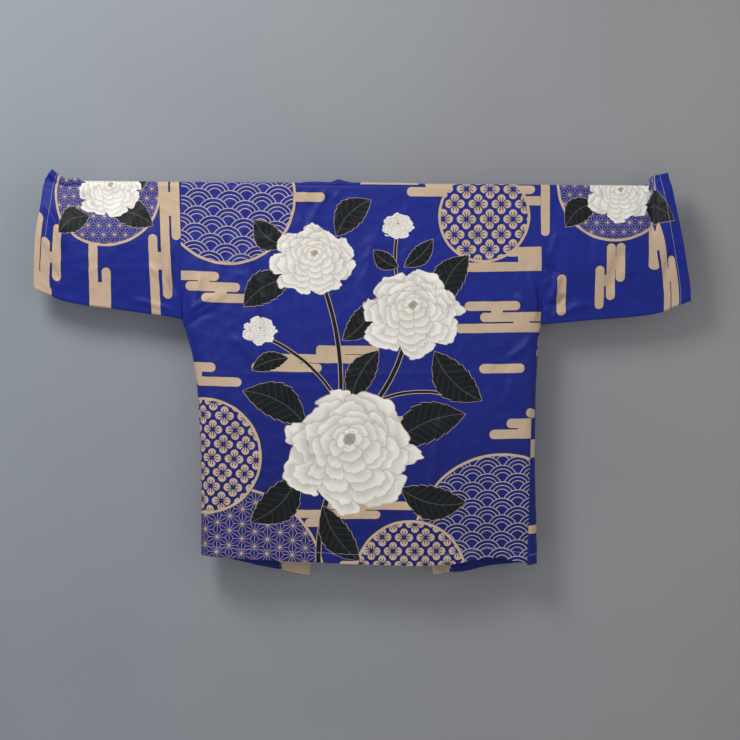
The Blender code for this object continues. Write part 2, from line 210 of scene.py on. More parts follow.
Armpit = namedtuple("Armpit", "x z")
ARMPITS = {-1: Armpit(x=-0.3567, z=-0.2640), 1: Armpit(x=0.3650, z=-0.2690)}

Hem = namedtuple("Hem", "x z")
BACK_HEM = in_metres(
    Hem,
    (-315, -735.6), (-235, -740), (-115, -746), (5, -750), (100, -751.2), (187, -748), (235, -739.5),
    (281, -735), (321, -742.5), (362, -746.5),
)

Hang = namedtuple("Hang", "z back front")
HANGS = rows(
    Hang,
    (0, OVER_ROD, OVER_ROD), (-0.1, 0.0145, 0.015), (-0.25, 0.019, 0.021), (-0.4, 0.023, 0.027),
    (-0.6, 0.026, 0.033), (-0.78, 0.027, 0.037),
)

Fold = namedtuple("Fold", "top_x top_z foot_x foot_z half_width rise reaches_hem")
BACK_FOLDS = in_metres(
    Fold,
    (-228, -100, -168, -380, 34, 6.5, False), (-330, -270, -262, -200, 20, 4, False),
    (335, -300, 300, -440, 30, 4, False), (-205, -420, -235, -750, 50, 7, True),
    (-60, -460, -75, -750, 55, -6, True), (105, -360, 120, -750, 60, 8, True),
    (262, -460, 276, -750, 45, -9, True),
)
FRONT_FOLDS = in_metres(
    Fold,
    (-300, -240, -235, -170, 22, 4.5, False), (-225, -300, -240, -770, 45, 9.5, True),
    (225, -120, 180, -360, 32, 6, False), (250, -340, 262, -770, 48, 10, True),
)

# A crease runs straight or bowed from one end to the other. A pressed one has a sharp
# top, and the others are soft ridges, or troughs where the height is below nought.
Crease = namedtuple("Crease", "x z to_x to_z width height bow pressed", defaults=(0.0, False))
BACK_CREASES = in_metres(
    Crease,
    (-118, -4, -92, -34, 5, 3, 2), (-70, 0, -78, -30, 4.2, 3.4, -1), (-40, 2, -50, -26, 4, 3, 1),
    (170, -430, 145, -625, 8.9, 5, 4), (-245, -440, -235, -640, 10.4, -4.7, 5),
    (-305, -372, 352, -364, 4.3, 2.2, 3, True), (-257, -235, -255, -375, 3, 1.1, 0, True),
    (-171, -190, -173, -335, 3, 1, 0, True), (-117, -60, -119, -700, 3, 0.7, 1, True),
    (173, -150, 172, -690, 3, 0.7, 1, True), (259, -375, 260, -490, 3, 1.1, 0, True),
    (325, -120, 326, -300, 3, 1.1, 0, True), (184, -170, 254, -262, 3, 1, 0, True),
    (254, -170, 184, -262, 3, 1, 0, True), (184, -262, 254, -345, 3, 1, 0, True),
    (254, -262, 184, -345, 3, 1, 0, True), (184, -375, 254, -452, 3, 1.1, 0, True),
    (254, -375, 184, -452, 3, 1.1, 0, True), (184, -452, 254, -530, 3, 1, 0, True),
    (254, -452, 184, -530, 3, 0.7, 0, True), (-352, -262, -285, -214, 5.8, 6.2, -4),
    (-350, -282, -292, -246, 5, -3.9, -3), (-340, -250, -318, -168, 6.2, 4.7, 4),
    (357, -266, 305, -205, 6.7, 5, 5), (350, -290, 296, -338, 6.7, 4.7, -4),
    (356, -250, 339, -150, 5.8, 3.9, 0), (-214, -122, -168, -330, 10.8, -6.5, 6),
    (-262, -290, -185, -372, 9.1, 4.7, -5), (-301, -410, -262, -520, 8.3, 4.5, 4),
    (-140, -400, -110, -560, 11.6, -4.5, 6), (30, -85, 10, -240, 12.4, 3.9, 5),
    (118, -110, 150, -330, 11.6, -4.7, -6), (65, -400, 90, -600, 9.9, 4.7, 5),
    (210, -560, 236, -742, 8.3, -5.9, 3), (300, -600, 306, -735, 7.5, 5.3, 2),
    (-30, -610, -12, -745, 9.1, 4.7, 2), (-275, -620, -283, -735, 8.3, -4.2, 0),
    (-75, -20, -110, -105, 8.3, 2.9, 3), (240, -20, 228, -120, 9.9, -3.3, 3),
)


def smooth(share):
    share = np.clip(share, 0.0, 1.0)
    return share * share * (3 - 2 * share)


def between(low, high, share):
    return low + (high - low) * share


def read(table, key, value, at):
    """The table's values at places on its key column, on a smooth curve through its rows."""
    ordered = sorted(table, key=lambda row: getattr(row, key))
    places = np.array([getattr(row, key) for row in ordered])
    values = np.array([getattr(row, value) for row in ordered])
    widths = np.diff(places)
    rises = np.diff(values) / widths
    slopes = np.zeros(len(ordered))
    slopes[0], slopes[-1] = rises[0], rises[-1]
    before, after = rises[:-1], rises[1:]
    steady = before * after > 0
    slopes[1:-1][steady] = (2 * before * after)[steady] / (before + after)[steady]
    at = np.clip(at, places[0], places[-1])
    i = np.clip(np.searchsorted(places, at, side="right") - 1, 0, len(widths) - 1)
    share = (at - places[i]) / widths[i]
    start = (1 + 2 * share) * (1 - share) ** 2 * values[i]
    end = share**2 * (3 - 2 * share) * values[i + 1]
    leave = share * (1 - share) ** 2 * widths[i] * slopes[i]
    arrive = share**2 * (share - 1) * widths[i] * slopes[i + 1]
    return start + end + leave + arrive


def fold_rise(folds, x, z):
    """How far the large folds stand out, as in the solids."""
    total = np.zeros(np.broadcast(x, z).shape)
    for fold in folds:
        along = (fold.top_z - z) / (fold.top_z - fold.foot_z)
        centre = between(fold.top_x, fold.foot_x, np.clip(along, 0.0, 1.0))
        across = np.clip(abs(x - centre) / fold.half_width, 0.0, 1.0)
        strength = smooth(along) if fold.reaches_hem else np.sin(math.pi * np.clip(along, 0.0, 1.0))
        total = total + fold.rise * strength * np.cos(across * math.pi / 2) ** 2
    return total


def crease_rise(creases, x, z):
    """How far the creases stand out of the cloth, along its own normal."""
    total = np.zeros(np.broadcast(x, z).shape)
    for crease in creases:
        run_x, run_z = crease.to_x - crease.x, crease.to_z - crease.z
        length = math.hypot(run_x, run_z)
        along = ((x - crease.x) * run_x + (z - crease.z) * run_z) / length**2
        aside = ((x - crease.x) * run_z - (z - crease.z) * run_x) / length
        kept = np.clip(along, 0.0, 1.0)
        aside = aside - crease.bow * np.sin(math.pi * kept)
        taper = smooth(4 * kept) * smooth(4 * (1 - kept))
        off = abs(aside) / crease.width
        shape = np.exp(-off) if crease.pressed else np.exp(-off * off)
        total = total + crease.height * taper * shape
    return total


def section_half_depth(station, share, drop):
    """Half a sleeve's depth, at a share of its side and at a drop below the tip's centre."""
    share = np.clip(share, 0.0, 1.0)
    opened = smooth((drop - station.fin) / CREASE_OPENING)
    straight = between(station.tip + station.shoulder * opened, UNDERARM_RADIUS, share)
    return straight + station.bulge * np.sin(math.pi * share) ** BULGE_POWER


Station = namedtuple("Station", "reach crest tip fin shoulder under bulge")
ARMHOLES = {
    -1: Station(0.000, OVER_ROD, OVER_ROD, 0.000, 0.000, -0.2640, 0.007),
    1: Station(0.000, OVER_ROD, OVER_ROD, 0.000, 0.000, -0.2690, 0.007),
}


def armhole_half_depth(side, z):
    """Half the sleeve's depth at the armhole, which the body meets there."""
    armpit = ARMPITS[side]
    depth = section_half_depth(ARMHOLES[side], -z / (-armpit.z - UNDERARM_RADIUS), -z)
    return np.where(z <= armpit.z, 0.0, depth)


def near_armpit(side, z, above):
    """0 from a height above the armpit upwards, 1 from the armpit down."""
    return smooth((ARMPITS[side].z + above - z) / above)


def hang(x, z, layer):
    """How far a layer hangs from the rod's plane, away from the sides."""
    folds = BACK_FOLDS if layer == "back" else FRONT_FOLDS
    return read(HANGS, "z", layer, z) + fold_rise(folds, x, z)


def side_edge(side, z):
    """The body's outermost line, drawn in a little at the armpit."""
    edge = read(SIDES, "z", HALVES[side], z)
    inset = ARMPIT_INSET * near_armpit(side, z - ARMPIT_BLEND, ARMPIT_BLEND)
    return edge - side * (SEAM / 2 + inset)


def seam_angle(side, z, layer):
    """Where round the side the layer ends, half a seam's gap short of the seam."""
    if side < 0:
        return np.full(np.shape(z), SEAM / SIDE_ROUND)
    out = read(SIDES, "z", "right", z) - read(SIDES, "z", "right_seam", z)
    wrap = np.arccos(1 - out / SIDE_ROUND)
    return SEAM / SIDE_ROUND + (wrap if layer == "back" else -wrap)


def turn_start(side, z):
    return side_edge(side, z) - side * SIDE_ROUND


def in_turn(side, z, share, layer):
    """Across and outwards where a layer turns into its side: 0 is the seam, 1 the start."""
    angle = between(seam_angle(side, z, layer), math.pi / 2, share)
    x = side_edge(side, z) - side * SIDE_ROUND * (1 - np.cos(angle))
    other = "front" if layer == "back" else "back"
    reach = np.where(angle >= 0, hang(x, z, layer), hang(x, z, other))
    mouth = armhole_half_depth(side, z)
    power = between(RUN_ON_POWER, 1, near_armpit(side, z, ARMPIT_BLEND))
    out = np.sign(angle) * abs(np.sin(angle)) ** power
    return x, PANEL_SIGN[layer] * (mouth + (reach - mouth) * out)


def body_place(layer, left_edge, right_edge, hem, a, down):
    """A place on a body panel's middle surface.

    a runs 0 to 1 round the left side, 1 to 2 across and 2 to 3 round the right side.
    down is in metres above the rod's side, where it is less than 0, and from there
    to the hem it is the share of the way.
    """
    sign = PANEL_SIGN[layer]

    def at_height(z):
        x = between(left_edge(z), right_edge(z), np.clip(a - 1, 0, 1))
        y = sign * hang(x, z, layer)
        for side, share in ((-1, a), (1, 3 - a)):
            turned_x, turned_y = in_turn(side, z, np.clip(share, 0, 1), layer)
            x = np.where(share < 1, turned_x, x)
            y = np.where(share < 1, turned_y, y)
        return x, y

    foot_x, _ = at_height(np.full(np.shape(a), hem[0].z))
    z = np.clip(down, 0, None) * read(hem, "x", "z", foot_x)
    x, y = at_height(z)
    angle = (QUARTER + np.minimum(down, 0)) / OVER_ROD
    y = np.where(down < 0, sign * OVER_ROD * np.sin(angle), y)
    z = np.where(down < 0, OVER_ROD * np.cos(angle), z)
    return np.stack([x, y, z], axis=-1)


def normals(place, a, b, hand):
    """The surface's outward normals. The hand is 1 or -1, as a and b run round the piece."""
    step_a = np.where(a > np.mean(a), -NORMAL_STEP, NORMAL_STEP)
    step_b = np.where(b > np.mean(b), -NORMAL_STEP, NORMAL_STEP)
    here = place(a, b)
    along_a = (place(a + step_a, b) - here) / step_a[..., None]
    along_b = (place(a, b + step_b) - here) / step_b[..., None]
    normal = np.cross(along_a, along_b)
    return hand * normal / np.linalg.norm(normal, axis=-1, keepdims=True)


def turned_under(width, outer):
    """Distances from an edge and depths under the face, from what is turned under outwards."""
    round_fold = np.linspace(math.pi, 0, 6)
    distances = [np.linspace(width, FOLD_RADIUS, 4)[:-1], FOLD_RADIUS * (1 - np.sin(round_fold)), outer]
    depths = [np.full(3, 2 * FOLD_RADIUS), FOLD_RADIUS * (1 - np.cos(round_fold)), np.zeros(len(outer))]
    return np.concatenate(distances), np.concatenate(depths)


def path_beyond(spots, start, axis):
    """Lengths along the cloth from a row or column of a grid to each one after it."""
    spots = np.moveaxis(spots, axis, 0)[start:]
    lengths = np.linalg.norm(np.diff(spots, axis=0), axis=-1)
    total = np.concatenate([np.zeros((1,) + lengths.shape[1:]), np.cumsum(lengths, axis=0)])
    return np.moveaxis(total, 0, axis)


def lay_cloth(name, node, spots, u, v, materials, hand, hole=None):
    """Rows of places made one piece of cloth with the print's map, for its solid."""
    steps_down, steps_across = spots.shape[0] - 1, spots.shape[1] - 1
    shape = bmesh.new()
    bmesh.ops.create_grid(shape, x_segments=steps_across, y_segments=steps_down, size=1.0)
    layer = shape.loops.layers.uv.new("print")
    laid = {}
    for vert in shape.verts:
        column = round((vert.co.x + 1) / 2 * steps_across)
        row = round((1 - vert.co.y) / 2 * steps_down)
        laid[vert] = u[row, column], v[row, column]
        vert.co = spots[row, column]
        vert.tag = hole is not None and bool(hole[row, column])
    for face in shape.faces:
        for loop in face.loops:
            loop[layer].uv = laid[loop.vert]
    inside = [vert for vert in shape.verts if vert.tag]
    bmesh.ops.delete(shape, geom=inside, context="VERTS")
    if hand > 0:
        bmesh.ops.reverse_faces(shape, faces=shape.faces)
    cloth = link_piece(name, shape, *materials)
    wall = cloth.modifiers.new("thickness", "SOLIDIFY")
    wall.thickness = CLOTH
    wall.offset = 0.0
    wall.material_offset = 1
    wall.material_offset_rim = 1
    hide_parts(node)
    return cloth


def spaced(start, end, spacing):
    """Even places from a start to an end, without the start."""
    count = max(1, math.ceil(abs(end - start) / spacing))
    return np.linspace(start, end, count + 1)[1:]


RIPPLE = 0.0010  # height of the crumples
RIPPLES = [  # heading, wave number per metre, start, strength
    (0.35, 74, 0.6, 1.0),
    (1.20, 96, 2.1, 0.8),
    (2.05, 83, 4.0, 0.9),
    (2.75, 131, 1.3, 0.5),
    (0.80, 158, 5.2, 0.4),
]


def ripples(x, z, amount):
    """The slight crumples of cloth that hangs almost flat: soft ridges that cross and wander."""
    bent_x = x + 0.011 * np.sin(29 * z + 1.0) + 0.006 * np.sin(61 * x - 37 * z)
    bent_z = z + 0.013 * np.sin(23 * x + 2.4) + 0.006 * np.sin(53 * z + 41 * x)
    patches = 0.65 + 0.35 * np.sin(13 * x + 4) * np.sin(11 * z - 7 * x + 1)
    total = 0
    for heading, number, start, strength in RIPPLES:
        wave = np.sin(number * (bent_x * math.cos(heading) + bent_z * math.sin(heading)) + start)
        total = total + strength * (np.exp(-((wave / 0.55) ** 2)) - 0.45)
    return amount * patches * total


SIDE_DISTANCES, SIDE_DEPTHS = turned_under(ALLOWANCE, spaced(FOLD_RADIUS, TURN_LENGTH, SPACING))
BODY_DROP = 0.75  # from the rod's side to the hems, about


def body_rows(top, neck=None):
    """A body panel's rows from its top edge to the turned-up hem, and the rows of its parts."""
    top_distances, top_depths = turned_under(ALLOWANCE, spaced(FOLD_RADIUS, 0.0035, 0.0016))
    upper = top + top_distances
    between_rows = spaced(upper[-1], neck, ROD_SPACING) if neck else np.array([])
    rod_side = spaced(neck or upper[-1], 0, ROD_SPACING)
    hang_rows = spaced(0, 1 - FOLD_RADIUS / BODY_DROP, SPACING / BODY_DROP)
    hem_distances, hem_depths = turned_under(HEM, np.array([]))
    down = [upper, between_rows, rod_side, hang_rows, 1 - hem_distances[::-1][1:] / BODY_DROP]
    flat = len(between_rows) + len(rod_side) + len(hang_rows)
    depths = [top_depths, np.zeros(flat), hem_depths[::-1][1:]]
    neck_row = len(upper) + len(between_rows) - 1
    side_row = neck_row + len(rod_side)
    return np.concatenate(down), np.concatenate(depths), neck_row, side_row, side_row + len(hang_rows)


STITCH, STITCH_PITCH, THREAD_RADIUS = 0.0024, 0.0031, 0.00045
STITCH_LINE = 0.0193  # from the folded edge
SEWN_UNEVENLY = 0.0001
needle = random.Random(11)


def sewing_thread():
    """Pale polyester thread, its twist a fine slanting wave."""
    thread, tree, shader = new_material("sewing thread")
    place = added(tree, "TexCoord")
    twist = added(tree, "TexWave", Scale=900.0)
    twist.bands_direction = "DIAGONAL"
    join(place, "Object", twist, "Vector")
    add_relief(shader, twist.outputs["Fac"], 0.3, 0.0001)
    set_inputs(shader, Base_Color=(0.58, 0.60, 0.70, 1.0), Roughness=0.5)
    return thread


stitch_thread = sewing_thread()


def topstitching(name, spots, facing, edge_row, flat):
    """Stitches in a row beside a folded edge, each a small capsule pressed into the cloth."""
    rows_back = math.ceil(STITCH_LINE / SPACING)
    share = rows_back - STITCH_LINE / SPACING
    row = edge_row - rows_back
    line = between(spots[row], spots[row + 1], share)[flat]
    out = facing[row][flat]
    lengths = np.concatenate([[0], np.cumsum(np.linalg.norm(np.diff(line, axis=0), axis=1))])
    shape = bmesh.new()
    for i in range(int(lengths[-1] / STITCH_PITCH)):
        middle = (i + 0.5) * STITCH_PITCH + needle.uniform(-SEWN_UNEVENLY, SEWN_UNEVENLY)
        start, end, up = (
            Vector([np.interp(at, lengths, values[:, k]) for k in range(3)])
            for at, values in ((middle - STITCH / 2, line), (middle + STITCH / 2, line), (middle, out))
        )
        along = (end - start).normalized()
        side = up.cross(along).normalized()
        centre = (start + end) / 2 + up * (CLOTH / 2 + 0.3 * THREAD_RADIUS)
        centre = centre + side * needle.uniform(-SEWN_UNEVENLY, SEWN_UNEVENLY)
        axes = (side * THREAD_RADIUS, side.cross(along) * THREAD_RADIUS, along * STITCH / 2)
        turned = Matrix([[axis[k] for axis in axes] + [centre[k]] for k in range(3)] + [[0, 0, 0, 1]])
        bmesh.ops.create_uvsphere(shape, u_segments=6, v_segments=5, radius=1.0, matrix=turned)
    bmesh.ops.recalc_face_normals(shape, faces=shape.faces)
    return link_piece(name, shape, stitch_thread)


def print_dip(x, z):
    """How much lower than on flat cloth the print lies, which sags between the shoulders."""
    return PRINT_DIP * (1 - (x / DIP_HALF_WIDTH) ** 2) * smooth(-z / DIP_REACH)


def body_panel(name, node, layer, edges, hem, columns, rows_down, creases, materials, neck=None):
    """One panel of the body with its edges turned under, its creases and its print's map."""
    a_line, a_depths = columns
    down, b_depths, neck_row, side_row, hem_row = rows_down
    a, b = np.meshgrid(a_line, down)
    hand = PANEL_SIGN[layer]

    def place(a, b):
        return body_place(layer, edges[0], edges[1], hem, a, b)

    base = place(a, b)
    x, z = base[..., 0], base[..., 2]
    u, v = x.copy(), z + print_dip(x, z)
    first, last = np.argmin(abs(a_line - 1)), np.argmin(abs(a_line - 2))
    u[:, last:] = x[:, last : last + 1] + path_beyond(base, last, 1)
    leftwards = path_beyond(base[:, ::-1], len(a_line) - 1 - first, 1)[:, ::-1]
    u[:, : first + 1] = x[:, first : first + 1] - leftwards
    v[: side_row + 1] = path_beyond(base[::-1], len(down) - 1 - side_row, 0)[::-1]
    v[hem_row:] = v[hem_row] - path_beyond(base, hem_row, 0)

    from_side = np.minimum(a, 3 - a) * TURN_LENGTH
    fade = smooth(from_side / SIDE_FADE) * smooth((0.001 - z) / TOP_FADE)
    rise = fade * (crease_rise(creases, x, z) + ripples(x, z, RIPPLE))
    depths = np.maximum(*np.meshgrid(a_depths, b_depths))
    facing = normals(place, a, b, hand)
    spots = base + facing * (rise - depths)[..., None]
    hole = None
    if neck:
        rows_in, columns_in = np.indices(a.shape)
        hole = (rows_in < neck_row) & (columns_in > neck[0]) & (columns_in < neck[1])
    cloth = lay_cloth(name, node, spots, u, v, materials, hand, hole)
    return cloth, topstitching(node + "_hem_stitches", spots, facing, hem_row, a_depths == 0)


# The cloth is printed all over. Round medallions with old patterns and cloud bars lie on
# a blue ground, and over them runs a branch of full blossoms with dark leaves. The print
# is drawn in millimetres on each panel's own map.
BLUE = (0.0090, 0.0200, 0.2450)
# painted shade: the blue ground is darkened to this towards the hem
SHADED_HEM_BLUE = (0.0075, 0.0145, 0.1650)
TAN = (0.600, 0.445, 0.310)
LILAC = (0.480, 0.385, 0.430)
WAVE_TAN = (0.680, 0.555, 0.490)
CREAM = (0.905, 0.892, 0.832)
LEAF_BLACK = (0.0045, 0.0075, 0.0105)
LEAF_RIB = (0.085, 0.078, 0.070)
REVERSE_WHITE = (0.560, 0.570, 0.660)
PRINT_LINE = (0.0090, 0.0060, 0.0450)  # the dark line round what is printed in tan
EDGE = 0.45  # softness of the print's edges
WOBBLE = 1.6  # how far the print's lines wander
HEM_SHADE_FROM, HEM_SHADE_OVER = -231, 420  # where painted shade darkens the blue ground towards the hem
RIM = 5.1  # width of a medallion's rim
RIM_LINE, CLOUD_LINE, WAVE_LINE, RAY_LINE = 0.9, 1.1, 0.5, 0.45  # widths of the dark line

Bar = namedtuple("Bar", "left right height half", defaults=(9.3,))
Bridge = namedtuple("Bridge", "left right low high")
Medallion = namedtuple("Medallion", "u v radius pattern from_u from_v size turn", defaults=(1.0, 0.0))
Leaf = namedtuple("Leaf", "u v to_u to_v half_width bend")
Stem = namedtuple("Stem", "u v to_u to_v bow half_width")
Blossom = namedtuple("Blossom", "u v radius flat turn")


class Drawn:
    """A number, or three numbers side by side, that vary over the cloth as the print is drawn.

    Sums and products of it become nodes in the same node tree.
    """

    def __init__(self, tree, socket, triple=False):
        self.tree, self.socket, self.triple = tree, socket, triple

    def work(self, operation, *others, triple=None, clamp=False):
        triple = self.triple if triple is None else triple
        node = added(self.tree, "VectorMath" if triple else "Math")
        node.operation = operation
        if clamp:
            node.use_clamp = True
        for socket, value in zip(node.inputs, (self,) + others):
            if isinstance(value, Drawn):
                self.tree.links.new(value.socket, socket)
            else:
                socket.default_value = value if not triple or np.ndim(value) else (value,) * 3
        if triple and operation in ("LENGTH", "DISTANCE", "DOT_PRODUCT"):
            return Drawn(self.tree, node.outputs["Value"])
        return Drawn(self.tree, node.outputs[0], triple)

    def __add__(self, other):
        return self.work("ADD", other)

    def __sub__(self, other):
        return self.work("SUBTRACT", other)

    def __mul__(self, other):
        return self.work("MULTIPLY", other)

    def __rsub__(self, other):
        return self.work("MULTIPLY_ADD", -1.0, other)

    def __abs__(self):
        return self.work("ABSOLUTE")

    def scaled(self, factor, offset, clamp=False):
        return self.work("MULTIPLY_ADD", factor, offset, clamp=clamp)

    def least(self, other):
        return self.work("MINIMUM", other)

    def most(self, other):
        return self.work("MAXIMUM", other)

    def parts(self):
        node = added(self.tree, "SeparateXYZ")
        self.tree.links.new(self.socket, node.inputs[0])
        return [Drawn(self.tree, output) for output in node.outputs]

    def inside(self, softness=EDGE):
        """1 where the number is more than 0, and 0 where it is less, with a soft edge."""
        return self.scaled(1 / softness, 0.5, clamp=True)


def side_by_side(tree, values):
    node = added(tree, "CombineXYZ")
    for socket, value in zip(node.inputs, values):
        tree.links.new(value.socket, socket)
    return Drawn(tree, node.outputs[0], True)


def mixed(kind, first, second, share):
    """A drawn triple: the first of two where the share is 0, the second where it is 1."""
    node = added(share.tree, "Mix")
    node.data_type = kind
    share.tree.links.new(share.socket, node.inputs["Factor"])
    sockets = [socket for socket in node.inputs if socket.type == kind and socket.name in "AB"]
    for socket, value in zip(sockets, (first, second)):
        if isinstance(value, Drawn):
            share.tree.links.new(value.socket, socket)
        else:
            socket.default_value = (*value, 1.0)
    result = [socket for socket in node.outputs if socket.type == kind][0]
    return Drawn(share.tree, result, True)


def chosen(first, second, share):
    return mixed("VECTOR", first, second, share)


def painted(ground, paint, share):
    """A colour with a paint laid over it. Either may be a drawn one."""
    return mixed("RGBA", ground, paint, share)


def print_place(tree):
    """A place on the print's map, in metres."""
    print_map = added(tree, "UVMap")
    print_map.uv_map = "print"
    return Drawn(tree, print_map.outputs[0], True)


def noise(spot, output, **values):
    node = added(spot.tree, "TexNoise", **values)
    spot.tree.links.new(spot.socket, node.inputs["Vector"])
    return Drawn(spot.tree, node.outputs[output], output == "Color")


def threes(shapes, filler):
    """The shapes in groups of three, the last one filled up, each turned into columns."""
    shapes = list(shapes) + [filler] * (-len(shapes) % 3)
    return [list(zip(*shapes[i : i + 3])) for i in range(0, len(shapes), 3)]


def largest(values):
    """The largest of several drawn triples, as one number."""
    total = values[0]
    for value in values[1:]:
        total = total.most(value)
    x, y, z = total.parts()
    return x.most(y.most(z))


def draw_bars(u3, v3, bars, bridges):
    """Cloud bars with round ends, and the blocks that join them: more than 0 inside."""
    depths = []
    for left, right, height, half in threes(bars, Bar(9000, 9040, 9000)):
        middle = [(a + b) / 2 for a, b in zip(left, right)]
        straight = [max(0.0, (b - a) / 2 - c) for a, b, c in zip(left, right, half)]
        past = (abs(u3 - middle) - straight).most(0.0)
        off = v3 - height
        distance = off.scaled(off, past * past)
        depths.append(distance.scaled([-0.5 / c for c in half], [c / 2 for c in half]))
    for left, right, low, high in threes(bridges, Bridge(9000, 9001, 9000, 9001)):
        across = abs(u3 - [(a + b) / 2 for a, b in zip(left, right)])
        along = abs(v3 - [(a + b) / 2 for a, b in zip(low, high)])
        past = across - [(b - a) / 2 for a, b in zip(left, right)]
        depths.append(0.0 - past.most(along - [(b - a) / 2 for a, b in zip(low, high)]))
    return largest(depths)


def nearer(first, second):
    """Of one place seen from two middles the view from the middle that is nearer to it."""
    return chosen(first, second, second.work("LENGTH").work("LESS_THAN", first.work("LENGTH")))


def nearest_knot(spot, width, height):
    """A place seen from the nearest knot of a staggered lattice."""
    corner = (width / 2, height / 2, 1.0)
    back = tuple(-size for size in corner)
    first = spot.work("WRAP", corner, back)
    second = (spot + (width / 2, height / 2, 0.0)).work("WRAP", corner, back)
    return nearer(first, second)


def waves(spot):
    """Overlapping scales of arcs, each row standing in front of the one above it."""
    scale, row, arc_step = 30.1, 16.5, 3.65
    half_line, first_arc, core = 0.62, 0.8, 12.5
    u, v, _ = spot.parts()
    rows_up = v.work("DIVIDE", row)
    above = rows_up.work("FRACT").scaled(row, scale - row)
    aside = (u + rows_up.work("FLOOR") * scale).work("PINGPONG", scale)
    near = (aside * aside + above * above).work("SQRT")
    next_above, next_aside = above - row, aside - scale
    far = (next_aside * next_aside + next_above * next_above).work("SQRT")
    in_front = near.work("LESS_THAN", scale)
    radius = far + (near - far) * in_front
    line = half_line - (scale - radius - first_arc).work("PINGPONG", arc_step)
    return line.least(radius - core)


def hemp_leaves(spot):
    """Stars with twelve rays on a staggered lattice, and the small disc in each one's middle."""
    half_line, disc = 0.46, 2.4
    knot = nearest_knot(spot, 50.6, 29.2)
    u, v, _ = knot.parts()
    reach = knot.work("LENGTH")
    turned = v.work("ARCTAN2", u).work("PINGPONG", math.radians(15))
    return half_line - turned.work("SINE") * reach, disc - reach


def lattice_flowers(spot):
    """Flowers of four round petals set like a plus, with a mark like a V in each petal."""
    knot = abs(nearest_knot(spot, 47.4, 60.2))
    u, v, _ = knot.parts()
    petal_middle, petal_radius, middle, eye, half_gap = 11.4, 8.4, 8.0, 4.4, 1.8
    half_mark, mark_end = 0.95, 13.4
    out, aside = u.most(v), u.least(v)
    past = out - petal_middle
    round_end = petal_radius - (past * past + aside * aside).work("SQRT")
    petal = round_end.most(middle - out)
    gap = (out - aside) - half_gap
    mark = (abs(aside - out.scaled(0.22, 0.5)) - half_mark).most(out - mark_end)
    return petal.least(gap.least((out - eye).least(mark)))


def lined(ground, paint, depth, line, where=1.0):
    """A shape laid over a colour with the print's dark line round it, where there is one."""
    return painted(painted(ground, PRINT_LINE, (depth + line).inside() * where), paint, depth.inside())


def draw_medallions(colour, spot, medallions, ground, bare):
    """Round medallions, later ones over earlier ones, each with its pattern and a plain rim.

    The rim runs into a cloud bar without a line, so the line is drawn where the ground is bare.
    """
    rounds = []
    for medallion in medallions:
        reach = spot.work("DISTANCE", (medallion.u, medallion.v, 0))
        rounds.append(medallion.radius - reach)
    fills = {}
    for kind in sorted({medallion.pattern for medallion in medallions}):
        local = None
        for medallion, depth in zip(medallions, rounds):
            if medallion.pattern == kind:
                seen = spot - (medallion.from_u, medallion.from_v, 0)
                if medallion.size != 1:
                    cosine = math.cos(math.radians(medallion.turn)) / medallion.size
                    sine = math.sin(math.radians(medallion.turn)) / medallion.size
                    across = seen.work("DOT_PRODUCT", (cosine, sine, 0.0))
                    up = seen.work("DOT_PRODUCT", (-sine, cosine, 0.0))
                    seen = side_by_side(spot.tree, (across, up))
                local = seen if local is None else chosen(local, seen, depth.work("GREATER_THAN", 0.0))
        if kind == "waves":
            fills[kind] = lined(ground, WAVE_TAN, waves(local), WAVE_LINE)
        elif kind == "flowers":
            fills[kind] = lined(ground, TAN, lattice_flowers(local), WAVE_LINE)
        else:
            rays, discs = hemp_leaves(local)
            fills[kind] = painted(lined(ground, LILAC, rays, RAY_LINE), TAN, discs.inside(1.4))
    for medallion, depth in zip(medallions, rounds):
        inner = painted(fills[medallion.pattern], TAN, (RIM - depth).inside())
        colour = lined(colour, inner, depth, RIM_LINE, bare)
    return colour


def along_and_aside(u3, v3, u, v, to_u, to_v):
    """How far along three straight lines a place is, how far beside them, and their lengths."""
    runs = [(b - a, d - c) for a, b, c, d in zip(u, to_u, v, to_v)]
    lengths = [math.hypot(*run) for run in runs]
    du = [run[0] / length for run, length in zip(runs, lengths)]
    dv = [run[1] / length for run, length in zip(runs, lengths)]
    from_u, from_v = u3 - u, v3 - v
    along = from_u.scaled(du, from_v * dv)
    return along, from_u.scaled(dv, from_v * [-value for value in du]), lengths


def draw_leaves(u3, v3, leaves):
    """Pointed leaves: how far inside one a place is, and how far from its rim and its ribs."""
    tooth, vein_step = 0.135, 15.0
    depths, clear = [], []
    for *ends, half_width, bend in threes(leaves, Leaf(9000, 9000, 9010, 9000, 1, 0)):
        along, aside, lengths = along_and_aside(u3, v3, *ends)
        share = along * [1 / length for length in lengths]
        crown = (share - share * share) * 4
        aside = abs(aside - crown * [a * b for a, b in zip(bend, half_width)])
        teeth = share.work("WRAP", (tooth,) * 3, (0.0,) * 3) * 0.75
        depth = (crown - teeth * crown) * half_width - aside
        veins = (along - aside * 0.75).work("WRAP", (vein_step,) * 3, (0.0,) * 3)
        depths.append(depth)
        clear.append(depth.least(aside.least(veins + 0.3)))
    return largest(depths), largest(clear)


def draw_stems(u3, v3, stems):
    """Stems along gentle bows, each placed by its two ends: how far inside one a place is."""
    depths = []
    for *ends, bow, half_width in threes(stems, Stem(9000, 9000, 9000, 9010, 0, 1)):
        along, aside, lengths = along_and_aside(u3, v3, *ends)
        share = along * [1 / length for length in lengths]
        aside = abs(aside - (share - share * share) * [4 * value for value in bow])
        past_end = abs(share - 0.5).scaled(lengths, [-length / 2 for length in lengths])
        depths.append(0.0 - (aside - half_width).most(past_end))
    return largest(depths)


